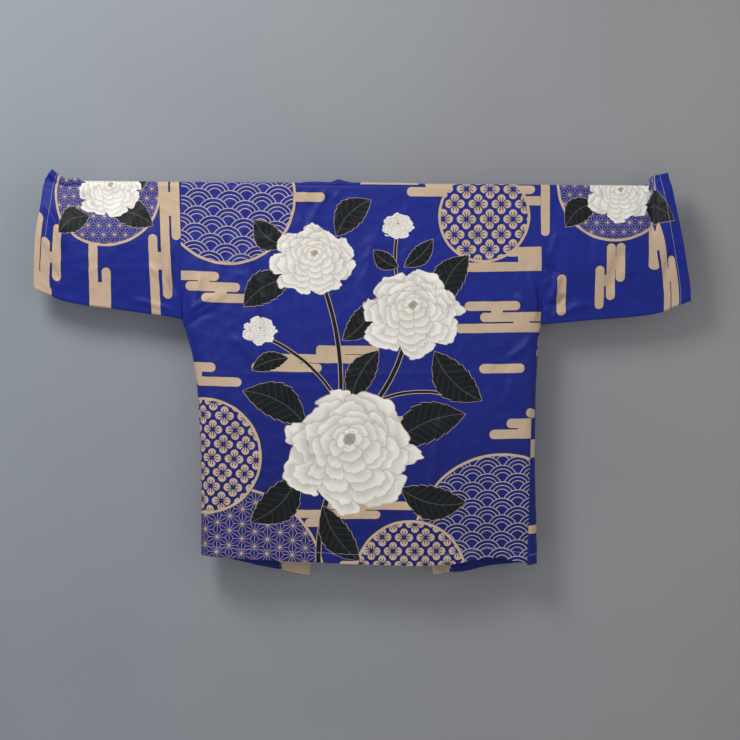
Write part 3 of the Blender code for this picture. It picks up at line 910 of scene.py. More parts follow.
PETAL_SHADE = (0.650, 0.600, 0.525)
PETAL_SHADOW = (0.300, 0.250, 0.220)
STAMEN = (0.620, 0.440, 0.200)
PETAL_RUFFLE, PETAL_LIFT, PETAL_EDGE = 0.26, 0.20, 0.012
PETAL_ROUNDS = [  # petals in the round, its radius as a share of the blossom's, its start
    (7, 1.00, 0.0), (8, 0.86, 0.9), (7, 0.71, 0.3), (7, 0.57, 1.2), (6, 0.44, 0.5), (5, 0.31, 0.8),
    (4, 0.19, 0.2),
]


def draw_blossoms(colour, spot, blossoms):
    """Full blossoms of overlapping ruffled petals, drawn once, for the nearest of them."""
    nearest = None
    for blossom in blossoms:
        sizes = (1 / blossom.radius, 1 / blossom.radius / blossom.flat, 0.0)
        moved = (-blossom.u * sizes[0], -blossom.v * sizes[1], blossom.turn)
        seen = spot.scaled(sizes, moved)
        nearest = seen if nearest is None else nearer(nearest, seen)
    ruffle = noise(nearest + (3.0, 5.0, 0.0), "Color", Scale=1.7, Detail=3.0, Roughness=0.42)
    drift = ruffle - (0.5, 0.5, 0.5)
    nearest = drift.scaled((PETAL_RUFFLE, PETAL_RUFFLE, 0.0), nearest)
    u, v, turn = nearest.parts()
    covered = None
    for count, radius, phase in PETAL_ROUNDS:
        raised = v - PETAL_LIFT * (1 - radius)
        reach = (u * u + raised * raised).work("SQRT")
        uneven = drift.work("DOT_PRODUCT", (math.sin(phase * 9), math.cos(phase * 7), 1.0))
        angle = raised.work("ARCTAN2", u) + turn * 9 + uneven * 1.1
        lobes = abs(angle.scaled(count / 2, phase).work("COSINE"))
        notched = abs(angle.scaled(count * 1.5, phase * 3).work("COSINE"))
        rim = lobes.work("POWER", 0.5).scaled(0.24 * radius, 0.72 * radius)
        rim = rim + notched * (0.035 * radius) + uneven * (0.16 * radius)
        depth = rim - reach
        if covered:
            under = (depth + 0.055).inside(0.11) * 0.34
            colour = painted(colour, PETAL_SHADOW, under * covered)
        folds = abs(angle.scaled(count * 3.5, phase).work("SINE"))
        between_petals = (0.030 - lobes * reach).inside(0.035)
        shade = depth.scaled(3.0, -0.06, clamp=True)
        streak = (0.22 - folds).inside(0.30) * shade
        petal = painted(CREAM, PETAL_SHADE, shade * 0.55)
        petal = painted(petal, PETAL_SHADE, (streak * 0.45).most(between_petals * 0.8))
        petal = painted(petal, TAN, (PETAL_EDGE - depth).inside(PETAL_EDGE) * 0.75)
        laid = depth.inside(PETAL_EDGE)
        colour = painted(colour, petal, laid)
        covered = covered.most(laid) if covered else laid
    dots = added(spot.tree, "TexVoronoi", Scale=21.0)
    spot.tree.links.new(nearest.socket, dots.inputs["Vector"])
    anther = (0.34 - Drawn(spot.tree, dots.outputs["Distance"])).inside(0.15)
    colour = painted(colour, LEAF_RIB, (0.085 - reach).inside(0.02) * 0.6)
    return painted(colour, STAMEN, anther * (0.13 - reach).inside(0.02))


def draw_print(name, bars, bridges, medallions, leaves=(), stems=(), blossoms=(), upright=False):
    """A panel's print as a node group that gives its colour. Upright bars stand on end."""
    tree = bpy.data.node_groups.new(name, "ShaderNodeTree")
    tree.interface.new_socket("Color", in_out="OUTPUT", socket_type="NodeSocketColor")
    spot = print_place(tree) * 1000
    drift = noise(spot, "Color", Scale=0.045, Detail=1.0) - (0.5, 0.5, 0.5)
    spot = drift.scaled((WOBBLE, WOBBLE, 0.0), spot)
    u, v, _ = spot.parts()
    u3, v3 = side_by_side(tree, (u, u, u)), side_by_side(tree, (v, v, v))
    long_way, short_way = (v3, u3) if upright else (u3, v3)
    # painted shade: the blue ground turns darker towards the hem
    hem_shade = v.scaled(-1 / HEM_SHADE_OVER, HEM_SHADE_FROM / HEM_SHADE_OVER, clamp=True)
    ground = painted(BLUE, SHADED_HEM_BLUE, hem_shade)
    clouds = draw_bars(long_way, short_way, bars, bridges)
    colour = lined(ground, TAN, clouds, CLOUD_LINE)
    colour = draw_medallions(colour, spot, medallions, ground, (0.0 - clouds).inside())
    if stems:
        depth = draw_stems(u3, v3, stems)
        colour = painted(colour, TAN, (depth + 0.9).inside())
        colour = painted(colour, LEAF_BLACK, (depth - 0.3).inside())
    if leaves:
        depth, clear = draw_leaves(u3, v3, leaves)
        colour = painted(colour, TAN, depth.inside())
        colour = painted(colour, LEAF_RIB, (depth - 1.1).inside())
        colour = painted(colour, LEAF_BLACK, (clear - 0.8).inside())
    if blossoms:
        colour = draw_blossoms(colour, spot, blossoms)
    output = tree.nodes.new("NodeGroupOutput")
    tree.links.new(colour.socket, output.inputs["Color"])
    return tree


THREADS = 2 * math.pi / 0.00045  # the weave's count, for a sine


def woven(name, print_group, show):
    """Light plain-weave polyester with a soft sheen. The print shows whole or just through."""
    cloth, tree, shader = new_material(name)
    drawn = added(tree, "Group")
    drawn.node_tree = print_group
    colour = Drawn(tree, drawn.outputs["Color"], True)
    if show < 1:
        white = [part * (1 - show) for part in REVERSE_WHITE]
        colour = colour.scaled((show,) * 3, white)
    spot = print_place(tree)
    level = noise(spot, "Fac", Scale=14.0, Detail=5.0).scaled(0.30, 0.85)
    slubs = noise(spot * (55, 1400, 1), "Fac", Scale=1.0, Detail=3.0)
    level = level * slubs.scaled(0.16, 0.92)
    finished = colour * side_by_side(tree, (level, level, level))
    tree.links.new(finished.socket, shader.inputs["Base Color"])
    warp, weft, _ = (spot * THREADS).work("SINE").parts()
    add_relief(shader, (warp * weft).socket, 0.35, 0.00012)
    set_inputs(shader, Roughness=0.40, Specular_IOR_Level=0.22, Sheen_Weight=0.02, Sheen_Roughness=0.40)
    return cloth


def cloth_materials(name, *parts, **more):
    """The material of a panel's face and that of its reverse."""
    drawn = draw_print(name, *parts, **more)
    return woven(name + " face", drawn, 1.0), woven(name + " reverse", drawn, 0.10)


BACK_BARS = rows(
    Bar,
    (-379, -281, -176.9), (-349, -239, -197.6), (-316, -203, -219.6), (-378, -286, -358.5),
    (-330, -234, -386.7), (-86, 40, -318.1, 8.5), (-172, 18, -336.3, 8.4), (-214, -74, -354.7, 8.7),
    (-141, -71, -17.5), (93, 305, -5.3), (129, 279, 10.5), (279, 349, 1.1), (303, 399, -21.6),
    (290, 400, -123.2), (189, 400, -152.8), (210, 321, -230.9), (241, 401, -253.5), (193, 401, -275.2),
    (240, 330, -356.1), (334, 403, -445.6, 9.2), (295, 403, -465.8), (261, 403, -487.1),
    (55, 139, -458.5), (-60, 112, -627.7, 8.2), (-130, 45, -645.9, 8.2), (-105, -45, -663.5, 8.2),
    (-37, 45, -747.9),
)
BACK_BRIDGES = rows(
    Bridge,
    (-323, -300, -197, -180), (-289, -265, -218, -199), (-86, -28, -333, -320),
    (-168, -118, -353, -338), (316, 370, -156, -121), (263, 286, -251, -233), (308, 340, -273, -256),
    (318, 403, -485, -466), (-1, 16, -642, -630), (-97, -63, -663, -647), (-372, -314, -389, -358),
)
BACK_MEDALLIONS = rows(
    Medallion,
    (-265, -17, 136, "waves", -295, -73, 1.06, -3.6), (248, -52, 92, "flowers", 259, -58, 0.985),
    (-254, -783, 190, "hemp", -204, -654, 0.995, -1),
    (-308, -535, 116, "flowers", -292, -538.6, 0.94, -1.6), (285, -699, 174, "waves", 258, -647),
    (106, -768, 112, "flowers", 114, -718, 0.91),
)
BACK_STEMS = rows(
    Stem,
    (-76, -769, -40, -558, -14, 5), (-10, -470, 96, -280, 18, 4.4), (-40, -470, -88, -150, 22, 4),
    (112, -262, 76, -78, -20, 2.8), (-44, -416, -196, -292, 16, 3), (40, -418, 196, -412, -14, 2.8),
)
BACK_LEAVES = rows(
    Leaf,
    (-104, -470, -232, -404, 38, 0.45), (-120, -566, -214, -664, 38, -0.45),
    (66, -510, 214, -446, 42, -0.4), (84, -592, 216, -622, 36, 0.45), (-70, -628, 6, -738, 32, 0.4),
    (150, -320, 246, -420, 38, 0.4), (164, -232, 218, -128, 34, -0.45),
    (40, -318, -16, -424, 30, 0.35), (-134, -176, -232, -236, 34, 0.4), (-48, -92, 22, -22, 30, -0.4),
    (-146, -112, -212, -62, 28, -0.4), (-34, -300, 32, -214, 28, 0.4), (88, -152, 146, -96, 20, 0.3),
    (78, -152, 26, -118, 19, -0.3), (-140, -336, -214, -362, 20, 0.3),
)
BACK_BLOSSOMS = rows(
    Blossom,
    (-16, -524, 142, 0.92, 0), (106, -248, 104, 0.88, 0.07), (-92, -142, 88, 0.85, 0.13),
    (76, -72, 33, 0.8, 0.02), (-198, -284, 36, 0.85, 0.1),
)

top_left, top_right = turn_start(-1, 0.0), turn_start(1, 0.0)
across = SPACING / (top_right - top_left)
neck_from, neck_to = 1 + (np.array([-1, 1]) * (NECK_HALF + SEAM) - top_left) / (top_right - top_left)
left_part = SIDE_DISTANCES / TURN_LENGTH
before_neck, over_neck = spaced(1, neck_from, across), spaced(neck_from, neck_to, across)
after_neck = spaced(neck_to, 2, across)
back_a = np.concatenate([left_part, before_neck, over_neck, after_neck, 3 - left_part[::-1][1:]])
flat_columns = np.zeros(len(back_a) - 2 * len(left_part) + 1)
back_a_depths = np.concatenate([SIDE_DEPTHS, flat_columns, SIDE_DEPTHS[::-1][1:]])
neck_column = len(left_part) + len(before_neck) - 1
back_cloth, back_stitches = body_panel(
    "back_cloth",
    "back",
    "back",
    (lambda z: turn_start(-1, z), lambda z: turn_start(1, z)),
    BACK_HEM,
    (back_a, back_a_depths),
    body_rows(SEAM / 2 - SHOULDER_FORWARD - QUARTER, NECK_BEHIND - QUARTER),
    BACK_CREASES,
    cloth_materials(
        "back print", BACK_BARS, BACK_BRIDGES, BACK_MEDALLIONS, BACK_LEAVES, BACK_STEMS, BACK_BLOSSOMS
    ),
    (neck_column, neck_column + len(over_neck)),
)

# The two fronts are cut like the back, from the same print, and meet it in the shoulder
# and side seams. The right side seam lies behind, so that front shows along its edge.
Collar = namedtuple("Collar", "z seam width turn")
LEFT_COLLAR = in_metres(
    Collar,
    (0, -116, 60, 0), (-200, -123, 60, 2), (-500, -141, 59, 5), (-780, -154.5, 58, 8),
)
RIGHT_COLLAR = in_metres(
    Collar,
    (0, 116, 60, 0), (-200, 130, 59, -6), (-500, 162, 47, -20), (-780, 188, 34, -30),
)
FRONT_HEM = in_metres(
    Hem,
    (-315, -735.6), (-235, -754), (-155, -769), (-95, -781), (150, -773), (198, -771), (281, -756),
    (362, -746.5),
)
FRONT_PRINTS = {
    "left": (
        rows(
            Bar,
            (-400, -262, -292), (-330, -214, -312), (-222, -100, -96), (-196, -60, -116.5),
            (-262, -176, -500), (-236, -60, -520.5), (-400, -330, -640),
        ),
        [Bridge(-300, -276, -314, -290), Bridge(-178, -150, -118, -94), Bridge(-222, -196, -522, -498)],
        rows(
            Medallion,
            (-318, -128, 96, "waves", -318, -128), (-120, -300, 84, "hemp", -120, -300),
            (-312, -470, 70, "flowers", -312, -470), (-206, -628, 96, "flowers", -206, -628),
        ),
        rows(
            Leaf,
            (-196, -420, -140, -480, 26, 0.4), (-246, -370, -300, -346, 26, -0.4),
            (-226, -352, -196, -290, 24, 0.4), (-250, -420, -288, -476, 22, 0.3),
        ),
        [Stem(-150, -640, -214, -430, 14, 3.4), Stem(-214, -380, -180, -230, 12, 2.6)],
        [Blossom(-222, -398, 66, 1.0, 0.04), Blossom(-178, -216, 30, 0.9, 0.09)],
    ),
    "right": (
        rows(
            Bar,
            (150, 262, -60), (206, 330, -80.5), (236, 420, -302), (282, 372, -322.5), (100, 214, -470),
            (132, 256, -490.5), (372, 440, -678.5, 8.2), (378, 440, -447), (372, 440, -508),
            (368, 440, -526), (376, 440, -325),
        ),
        [Bridge(222, 246, -83, -58), Bridge(300, 326, -325, -300), Bridge(160, 184, -493, -468)],
        rows(
            Medallion,
            (120, -180, 92, "flowers", 120, -180), (352, -190, 78, "hemp", 352, -190),
            (150, -640, 96, "waves", 150, -640), (292, -630, 92, "flowers", 292, -630),
        ),
        rows(
            Leaf,
            (262, -442, 318, -486, 28, 0.4), (214, -396, 160, -372, 26, 0.4),
            (240, -374, 268, -306, 24, -0.4), (222, -440, 190, -500, 22, 0.3),
        ),
        [Stem(212, -660, 236, -440, -14, 3.4), Stem(236, -380, 214, -252, 10, 2.6)],
        [Blossom(238, -412, 66, 0.95, 0.11), Blossom(212, -236, 30, 0.9, 0.03)],
    ),
}
FRONT_WIDTH = 0.20  # from the collar seam to where the side's turn begins, about
FRONT_CREASES = {
    "left": in_metres(
        Crease,
        (-310, -368, -150, -372, 4.3, 2, 2, True), (-196, -60, -199, -700, 3.2, 1.1, 1, True),
        (-268, -120, -270, -560, 3.2, 1, 0, True), (-352, -266, -280, -200, 5.8, 5.9, 5),
        (-346, -284, -270, -252, 5.4, -4.2, 3), (-330, -250, -322, -150, 6.7, 3.9, -3),
        (-180, -90, -215, -300, 10.8, -5.9, 6), (-250, -330, -190, -520, 9.9, 5.3, -6),
        (-160, -450, -176, -640, 8.3, -4.2, 4), (-268, -600, -276, -745, 8.3, 5.6, 3),
        (-205, -640, -214, -760, 7, -4.5, 2),
    ),
    "right": in_metres(
        Crease,
        (140, -371, 352, -366, 4.3, 2.2, 3, True), (205, -80, 207, -690, 3.2, 1, -1, True),
        (285, -110, 284, -500, 3.2, 1.1, 0, True), (358, -270, 292, -212, 6.2, 5.3, -5),
        (352, -292, 286, -330, 5.8, 4.5, 4), (340, -240, 332, -130, 5.8, -3.6, 2),
        (170, -110, 200, -310, 9.9, 5, -5), (260, -390, 215, -560, 9.9, -5.3, 6),
        (200, -500, 232, -700, 9.1, 5, 4), (310, -560, 318, -735, 7.8, 5.3, -2),
        (262, -650, 268, -748, 7, -4.2, 0),
    ),
}


def front_columns(side):
    """A front's columns, from left to right, with its side seam and collar seam turned under."""
    seam_distances, seam_depths = turned_under(ALLOWANCE, np.array([]))
    middle = spaced(1, 2 - FOLD_RADIUS / FRONT_WIDTH, SPACING / FRONT_WIDTH)
    a = np.concatenate([left_part, middle, 2 - seam_distances[::-1][1:] / FRONT_WIDTH])
    depths = np.concatenate([SIDE_DEPTHS, np.zeros(len(middle)), seam_depths[::-1][1:]])
    return (a, depths) if side < 0 else (3 - a[::-1], depths[::-1])


def make_front(name, node, side):
    """One front, on the side -1 or 1, between its side seam and its collar."""
    collar = LEFT_COLLAR if side < 0 else RIGHT_COLLAR
    inner_edge = lambda z: read(collar, "z", "seam", z) + side * SEAM
    outer_edge = lambda z: turn_start(side, z)
    edges = (outer_edge, inner_edge) if side < 0 else (inner_edge, outer_edge)
    rows_down = body_rows(SHOULDER_FORWARD + SEAM / 2 - QUARTER)
    creases = FRONT_CREASES[HALVES[side]]
    materials = cloth_materials(HALVES[side] + " front print", *FRONT_PRINTS[HALVES[side]])
    cloth, stitches = body_panel(
        name, node, "front", edges, FRONT_HEM, front_columns(side), rows_down, creases, materials
    )


make_front("front_left_cloth", "front_left", -1)
make_front("front_right_cloth", "front_right", 1)

# Each sleeve is one piece folded over the rod at its top, sewn along its lower edge and
# hemmed at the cuff. Beyond the rod's end its ironed top fold stands up by itself.
LEFT_SLEEVE = rows(
    Station,
    (0, OVER_ROD, OVER_ROD, 0, 0, -0.264, 0.007), (0.08, OVER_ROD, OVER_ROD, 0, 0, -0.2588, 0.008),
    (0.22, OVER_ROD, OVER_ROD, 0, 0, -0.254, 0.01), (0.37, OVER_ROD, OVER_ROD, 0, 0, -0.2478, 0.013),
    (0.52, OVER_ROD, OVER_ROD, 0, 0, -0.2424, 0.013), (0.64, OVER_ROD, OVER_ROD, 0, 0, -0.2385, 0.012),
    (0.725, OVER_ROD, OVER_ROD, 0, 0, -0.2345, 0.012),
    (0.765, 0.0175, 0.003, 0.008, 0.008, -0.232, 0.012),
    (0.83, 0.016, 0.0024, 0.008, 0.008, -0.228, 0.012),
    (0.9, 0.0215, 0.0024, 0.01, 0.009, -0.219, 0.012),
    (0.96, 0.03, 0.0024, 0.014, 0.009, -0.2125, 0.013),
    (1, 0.0352, 0.0024, 0.018, 0.01, -0.2083, 0.013),
)
RIGHT_SLEEVE = rows(
    Station,
    (0, OVER_ROD, OVER_ROD, 0, 0, -0.269, 0.007), (0.08, OVER_ROD, OVER_ROD, 0, 0, -0.2663, 0.008),
    (0.22, OVER_ROD, OVER_ROD, 0, 0, -0.262, 0.011), (0.37, OVER_ROD, OVER_ROD, 0, 0, -0.2578, 0.013),
    (0.52, OVER_ROD, OVER_ROD, 0, 0, -0.254, 0.013), (0.68, OVER_ROD, OVER_ROD, 0, 0, -0.249, 0.013),
    (0.815, OVER_ROD, OVER_ROD, 0, 0, -0.241, 0.012),
    (0.85, 0.0265, 0.004, 0.004, 0.008, -0.237, 0.012),
    (0.89, 0.032, 0.004, 0.004, 0.009, -0.231, 0.012),
    (0.94, 0.035, 0.004, 0.005, 0.009, -0.2255, 0.013),
    (1, 0.0385, 0.004, 0.006, 0.01, -0.2187, 0.014),
)
Cuff = namedtuple("Cuff", "z x")
LEFT_CUFF = in_metres(
    Cuff,
    (35.2, -620), (15.8, -631.9), (-40, -638.6), (-84.3, -645.8), (-137.4, -651.2), (-198.4, -653.3),
    (-208.3, -648),
)
RIGHT_CUFF = in_metres(
    Cuff,
    (38.5, 616.6), (-10.5, 626.4), (-62, 636.5), (-128.9, 650.2), (-205.3, 664), (-218.7, 664.6),
)
# These creases are placed on the print's map: the crest is at 19 mm, the back below it
# and the front above it.
LEFT_CREASES = in_metres(
    Crease,
    (-665, -3, -530, 9, 2.6, -6.6, 0, True), (-665, -12, -556, 1, 5, 3.7, 0),
    (-372, -130, -374, -236, 5.5, -5.6, 2), (-554, -8, -524, -58, 6.7, -6.5, 3),
    (-510, -175, -440, -232, 3.2, 1.1, 0, True), (-440, -175, -510, -232, 3.2, 1.1, 0, True),
    (-590, -166, -370, -160, 3.6, 1.2, 2, True), (-366, -236, -425, -150, 6.7, 5.6, 5),
    (-370, -215, -396, -115, 7, -3.9, -4), (-364, -252, -460, -226, 5.4, 3.6, 3),
    (-630, -50, -585, -130, 8.3, 5.9, -4), (-642, -120, -595, -200, 7.5, -4.5, 3),
    (-490, -30, -470, -140, 9.9, 3.3, 4), (-415, 70, -365, 270, 8.3, 5.3, -6),
    (-530, 60, -500, 220, 9.9, -4.7, 6), (-610, 90, -570, 200, 8.3, 5, 4),
    (-380, 285, -450, 240, 5.8, 4.2, 3),
)
RIGHT_CREASES = in_metres(
    Crease,
    (534, -105, 496, -215, 13, -5.9, 4), (548, -160, 552, -238, 10, -4.7, 2),
    (396, -85, 380, -140, 5, 4, 2), (364, -145, 405, -172, 5.6, -6.6, 2),
    (366, -262, 402, -142, 6.2, 7.8, 6), (369, -238, 418, -212, 7, -8.8, -2),
    (366, -200, 381, -176, 4.6, 4, -1), (365, -262, 470, -226, 6.8, 5.2, -4),
    (408, -246, 430, -196, 8, -3.4, 3), (585, 0, 586, -96, 7.3, -7.1, 2),
    (608, -10, 625, -110, 10.1, 4.7, 3), (630, -130, 605, -215, 10.1, -3.9, 3),
    (430, -160, 620, -166, 5, 1, 2, True), (540, -20, 560, -100, 12.3, 3.9, 4),
    (470, -40, 456, -150, 13.4, -3.6, 5), (420, 70, 375, 265, 11.2, 5.3, 6),
    (545, 80, 515, 230, 13.4, -4.5, -6), (615, 70, 585, 190, 10.1, 5.3, 4),
    (385, 292, 460, 250, 7.8, 4.2, 3),
)
LEFT_PRINT = (
    rows(
        Bar,
        (-286, -95, -414.2, 9), (-224, 60, -389.5, 9), (-106, 92, -367.4, 9), (-300, -90, -532.8, 9),
        (-300, -163, -507, 9), (-315, -78, -648.6, 9), (-308, -116, -628.8, 9), (-193, -81, -606.2, 9),
        (70, 300, -560, 9), (120, 214, -580.4, 9), (150, 300, -430, 9), (182, 262, -450.2, 9),
    ),
    rows(
        Bridge,
        (-58, -10, -388, -370), (-166, -130, -410, -390), (-297, -193, -531, -507),
        (-313, -190, -645, -625), (-161, -138, -623, -605), (150, 186, -582, -560),
        (204, 232, -452, -430),
    ),
    rows(
        Medallion,
        (-509, -7, 114, "hemp", -457, -79, 0.743, 90), (-500, 262, 76, "flowers", -500, 262),
    ),
    rows(
        Leaf,
        (-500, -52, -412, -78, 30, -0.4), (-540, -60, -604, -96, 28, 0.4),
        (-494, 4, -420, 44, 28, 0.4), (-506, 78, -444, 124, 28, 0.4), (-546, 100, -602, 152, 28, -0.4),
    ),
    (),
    [Blossom(-500, -8, 66, 0.90, 0.05), Blossom(-524, 104, 48, 1.0, 0.12)],
)
RIGHT_PRINT = (
    rows(
        Bar,
        (-92, 70, 370, 9), (-251, -169, 403.9, 9), (-239, -152, 479.8, 9), (-221, -107, 501.8, 9),
        (-184, -106, 520.9, 9), (-160, -68, 585.6, 9), (-300, -75, 609.4, 9), (-300, -151, 629.6, 9),
        (60, 240, 552, 9), (140, 300, 572.5, 9), (120, 300, 400, 9), (96, 180, 420.3, 9),
    ),
    rows(
        Bridge,
        (-193, -170, 481, 501), (-160, -134, 502, 520), (-121, -82, 586, 609), (-199, -174, 609, 630),
        (176, 212, 552, 574), (132, 158, 398, 422),
    ),
    rows(
        Medallion,
        (509, 13, 116, "hemp", 516, -65, 0.743, 90), (480, 258, 74, "waves", 480, 258),
    ),
    rows(
        Leaf,
        (566, -30, 660, -84, 34, -0.4), (474, -24, 410, -74, 28, 0.4), (530, 44, 586, 92, 28, 0.4),
        (470, 96, 410, 140, 28, 0.4), (520, 120, 560, 180, 26, -0.4),
    ),
    (),
    [Blossom(520, -10, 68, 0.88, 0.10), Blossom(492, 110, 46, 1.0, 0.02)],
)
CREST_PRINT = 0.019  # the print's height at a sleeve's crest
SLEEVE_LENGTH, SLEEVE_SIDE = 0.285, 0.245  # of cloth, about
UNDERARM_LENGTH = UNDERARM_RADIUS * math.pi / 2
CUFF_HEM = 0.021
FINE_SPACING, FINE_END = 0.0016, 1.15  # the rows are fine from the crest to a share of the side
CREST_STEPS = 7
CREASES_FROM, CREASES_OVER = 0.75, 0.28  # the share down a sleeve's side where its creases begin
UNDERARM_FADE, ARMHOLE_FADE = 0.06, 0.012
LEVEL = -0.13  # the height at which the print isn't drawn aside
ARMHOLE_LEAN = {-1: 0.045, 1: 0.0}
LEAN_END, LEAN_OVER = 0.50, 0.10  # how far out the print leans with the body
Lean = namedtuple("Lean", "start width taken_up taken_on")
CUFF_LEANS = {-1: Lean(0.540, 0.110, 0.0, 0.0), 1: Lean(0.575, 0.025, 0.022, 0.012)}


def sleeve_print_across(x, z, cuff, side):
    """Where a place lies on the print, which leans with the cuff and, on the left, with the body."""
    cuff_lean = CUFF_LEANS[side]
    near_cuff = smooth((abs(x) - cuff_lean.start) / cuff_lean.width)
    near_body = smooth((LEAN_END - abs(x)) / LEAN_OVER)
    aside = near_cuff * (read(cuff, "z", "x", z) - read(cuff, "z", "x", LEVEL))
    lean = ARMHOLE_LEAN[side] * near_body * (z + 0.10)
    fold = cuff_lean.taken_up * near_cuff * smooth((z + 0.11) / 0.12)
    fold = fold + cuff_lean.taken_on * smooth((abs(x) - 0.59) / 0.05)
    return x - aside + lean + fold


def sleeve_place(stations, cuff, side, a, reach):
    """A place on a sleeve: a runs from the underarm up the front, -3 to 0, and down the back."""
    share = abs(a)
    sizes = [read(stations, "reach", field, reach) for field in Station._fields[1:]]
    station = Station(reach, *sizes)
    centre = station.crest - station.tip
    side_share = np.clip(share - 1, 0, 1)
    drop = side_share * (centre - station.under - UNDERARM_RADIUS)
    over, below = np.clip(share, 0, 1) * math.pi / 2, np.clip(share - 2, 0, 1) * math.pi / 2
    depth = section_half_depth(station, side_share, drop)
    depth = np.where(share < 1, station.tip * np.sin(over), depth)
    depth = np.where(share > 2, UNDERARM_RADIUS * np.cos(below), depth)
    z = np.where(share < 1, centre + station.tip * np.cos(over), centre - drop)
    z = np.where(share > 2, station.under + UNDERARM_RADIUS * (1 - np.sin(below)), z)
    armhole_x = read(SIDES, "z", HALVES[side], np.maximum(z, ARMPITS[-1].z)) + side * SEAM / 2
    x = between(armhole_x, read(cuff, "z", "x", z), reach)
    return np.stack([x, -np.sign(a) * depth, z], axis=-1)


def make_sleeve(name, node, stations, cuff, creases, parts, side):
    """One sleeve from the armhole's seam to the cuff, on the side -1 or 1."""
    underarm = spaced(FOLD_RADIUS, UNDERARM_LENGTH, ROD_SPACING)
    seam_distances, seam_depths = turned_under(ALLOWANCE, underarm)
    near_seam = np.where(
        seam_distances < UNDERARM_LENGTH,
        3 - seam_distances / UNDERARM_LENGTH,
        2 - (seam_distances - UNDERARM_LENGTH) / SLEEVE_SIDE,
    )
    crest, fine = spaced(0, 1, 1 / CREST_STEPS), spaced(1, FINE_END, FINE_SPACING / SLEEVE_SIDE)
    back_side = np.concatenate([crest, fine, spaced(FINE_END, 2, SPACING / SLEEVE_SIDE)])
    half = np.concatenate([back_side, near_seam[::-1][1:]])
    half_depths = np.concatenate([np.zeros(len(back_side)), seam_depths[::-1][1:]])
    a_line = np.concatenate([-half[::-1], [0], half])
    a_depths = np.concatenate([half_depths[::-1], [0], half_depths])
    crest_column = len(half)

    start, start_depths = turned_under(ALLOWANCE, spaced(FOLD_RADIUS, 0.006, 0.0019))
    end, end_depths = turned_under(CUFF_HEM, np.array([]))
    to_cuff = spaced(start[-1], SLEEVE_LENGTH - FOLD_RADIUS, SPACING)
    reach = np.concatenate([start, to_cuff, SLEEVE_LENGTH - end[::-1][1:]]) / SLEEVE_LENGTH
    b_depths = np.concatenate([start_depths, np.zeros(len(to_cuff)), end_depths[::-1][1:]])
    cuff_row = len(start) + len(to_cuff) - 1

    def place(a, b):
        return sleeve_place(stations, cuff, side, np.where(a == 0, 1e-9, a), b)

    a, b = np.meshgrid(a_line, reach)
    base = place(a, b)
    u, v = sleeve_print_across(base[..., 0], base[..., 2], cuff, side), np.zeros(a.shape)
    v[:, crest_column:] = CREST_PRINT - path_beyond(base, crest_column, 1)
    flipped = path_beyond(base[:, ::-1], len(a_line) - 1 - crest_column, 1)[:, ::-1]
    v[:, : crest_column + 1] = CREST_PRINT + flipped
    fade = smooth((b * SLEEVE_LENGTH - 0.001) / ARMHOLE_FADE)
    fade = fade * smooth((abs(a) - CREASES_FROM) / CREASES_OVER) * smooth((2 - abs(a)) / UNDERARM_FADE)
    rise = fade * (crease_rise(creases, base[..., 0], v) + ripples(u, v, RIPPLE))
    u[cuff_row:] = u[cuff_row] + side * path_beyond(base, cuff_row, 0)

    facing = normals(place, a, b, side)
    depths = np.maximum(*np.meshgrid(a_depths, b_depths))
    spots = base + facing * (rise - depths)[..., None]
    materials = cloth_materials(HALVES[side] + " sleeve print", *parts, upright=True)
    cloth = lay_cloth(name, node, spots, u, v, materials, side)
    stitches = topstitching(node + "_cuff_stitches", spots, facing, cuff_row, a_depths == 0)


make_sleeve(
    "sleeve_left_cloth", "sleeve_left", LEFT_SLEEVE, LEFT_CUFF, LEFT_CREASES, LEFT_PRINT, -1
)
make_sleeve(
    "sleeve_right_cloth", "sleeve_right", RIGHT_SLEEVE, RIGHT_CUFF, RIGHT_CREASES, RIGHT_PRINT, 1
)

# The collar is a long band, folded lengthwise and sewn over the raw edges of the neck
# and both fronts. It is laid over the rod at the back of the neck, where it is puckered.
BAND = 0.060
BAND_BEHIND = NECK_BEHIND - 0.0005
BAND_FOLD = 0.00045  # radius of its folded edge
BAND_LIFT = 0.0009
NECK_FALL = BAND - BAND_BEHIND
NECK_DROP, NECK_DROP_REACH = 0.012, 0.026  # the rounding of its inner corners
LEG_BLEND = 0.17  # the lines across the band fan round the neck's corner above this fall
BAND_END = -0.78
LEG_LENGTH = 0.80  # about
FACE_SPACING, LEG_ROWS, NECK_ROWS = 0.0037, 210, 72
CLOSED, CLOSED_OVER = 0.6, 0.006  # the band's two layers come together at its ends
BAND_RIPPLE, BAND_STRETCH = 0.0003, 1.7  # its crumples are lower and closer than the body's
TURN_OVER = 0.08  # fall over which a leg begins to turn
Pucker = namedtuple("Pucker", "x width height fall depth")
PUCKERS = in_metres(
    Pucker,
    (-44, 10.8, 6.6, 1, 11), (-29, 10, 2, 1, 10), (-90, 28, 1.6, 0, 10), (18, 26, 0.9, 0, 10),
    (72, 20, 1.2, 10, 14),
)


def on_front(x, fall, turn):
    """A place on the collar: over the rod, then down in the fronts' plane."""
    z = np.minimum(QUARTER - fall, 0)
    angle = fall / OVER_ROD
    hanging = fall >= QUARTER
    y = np.where(hanging, hang(x, z, "front") + turn, OVER_ROD * np.sin(angle))
    return np.stack([x, y, np.where(hanging, z, OVER_ROD * np.cos(angle))], axis=-1)


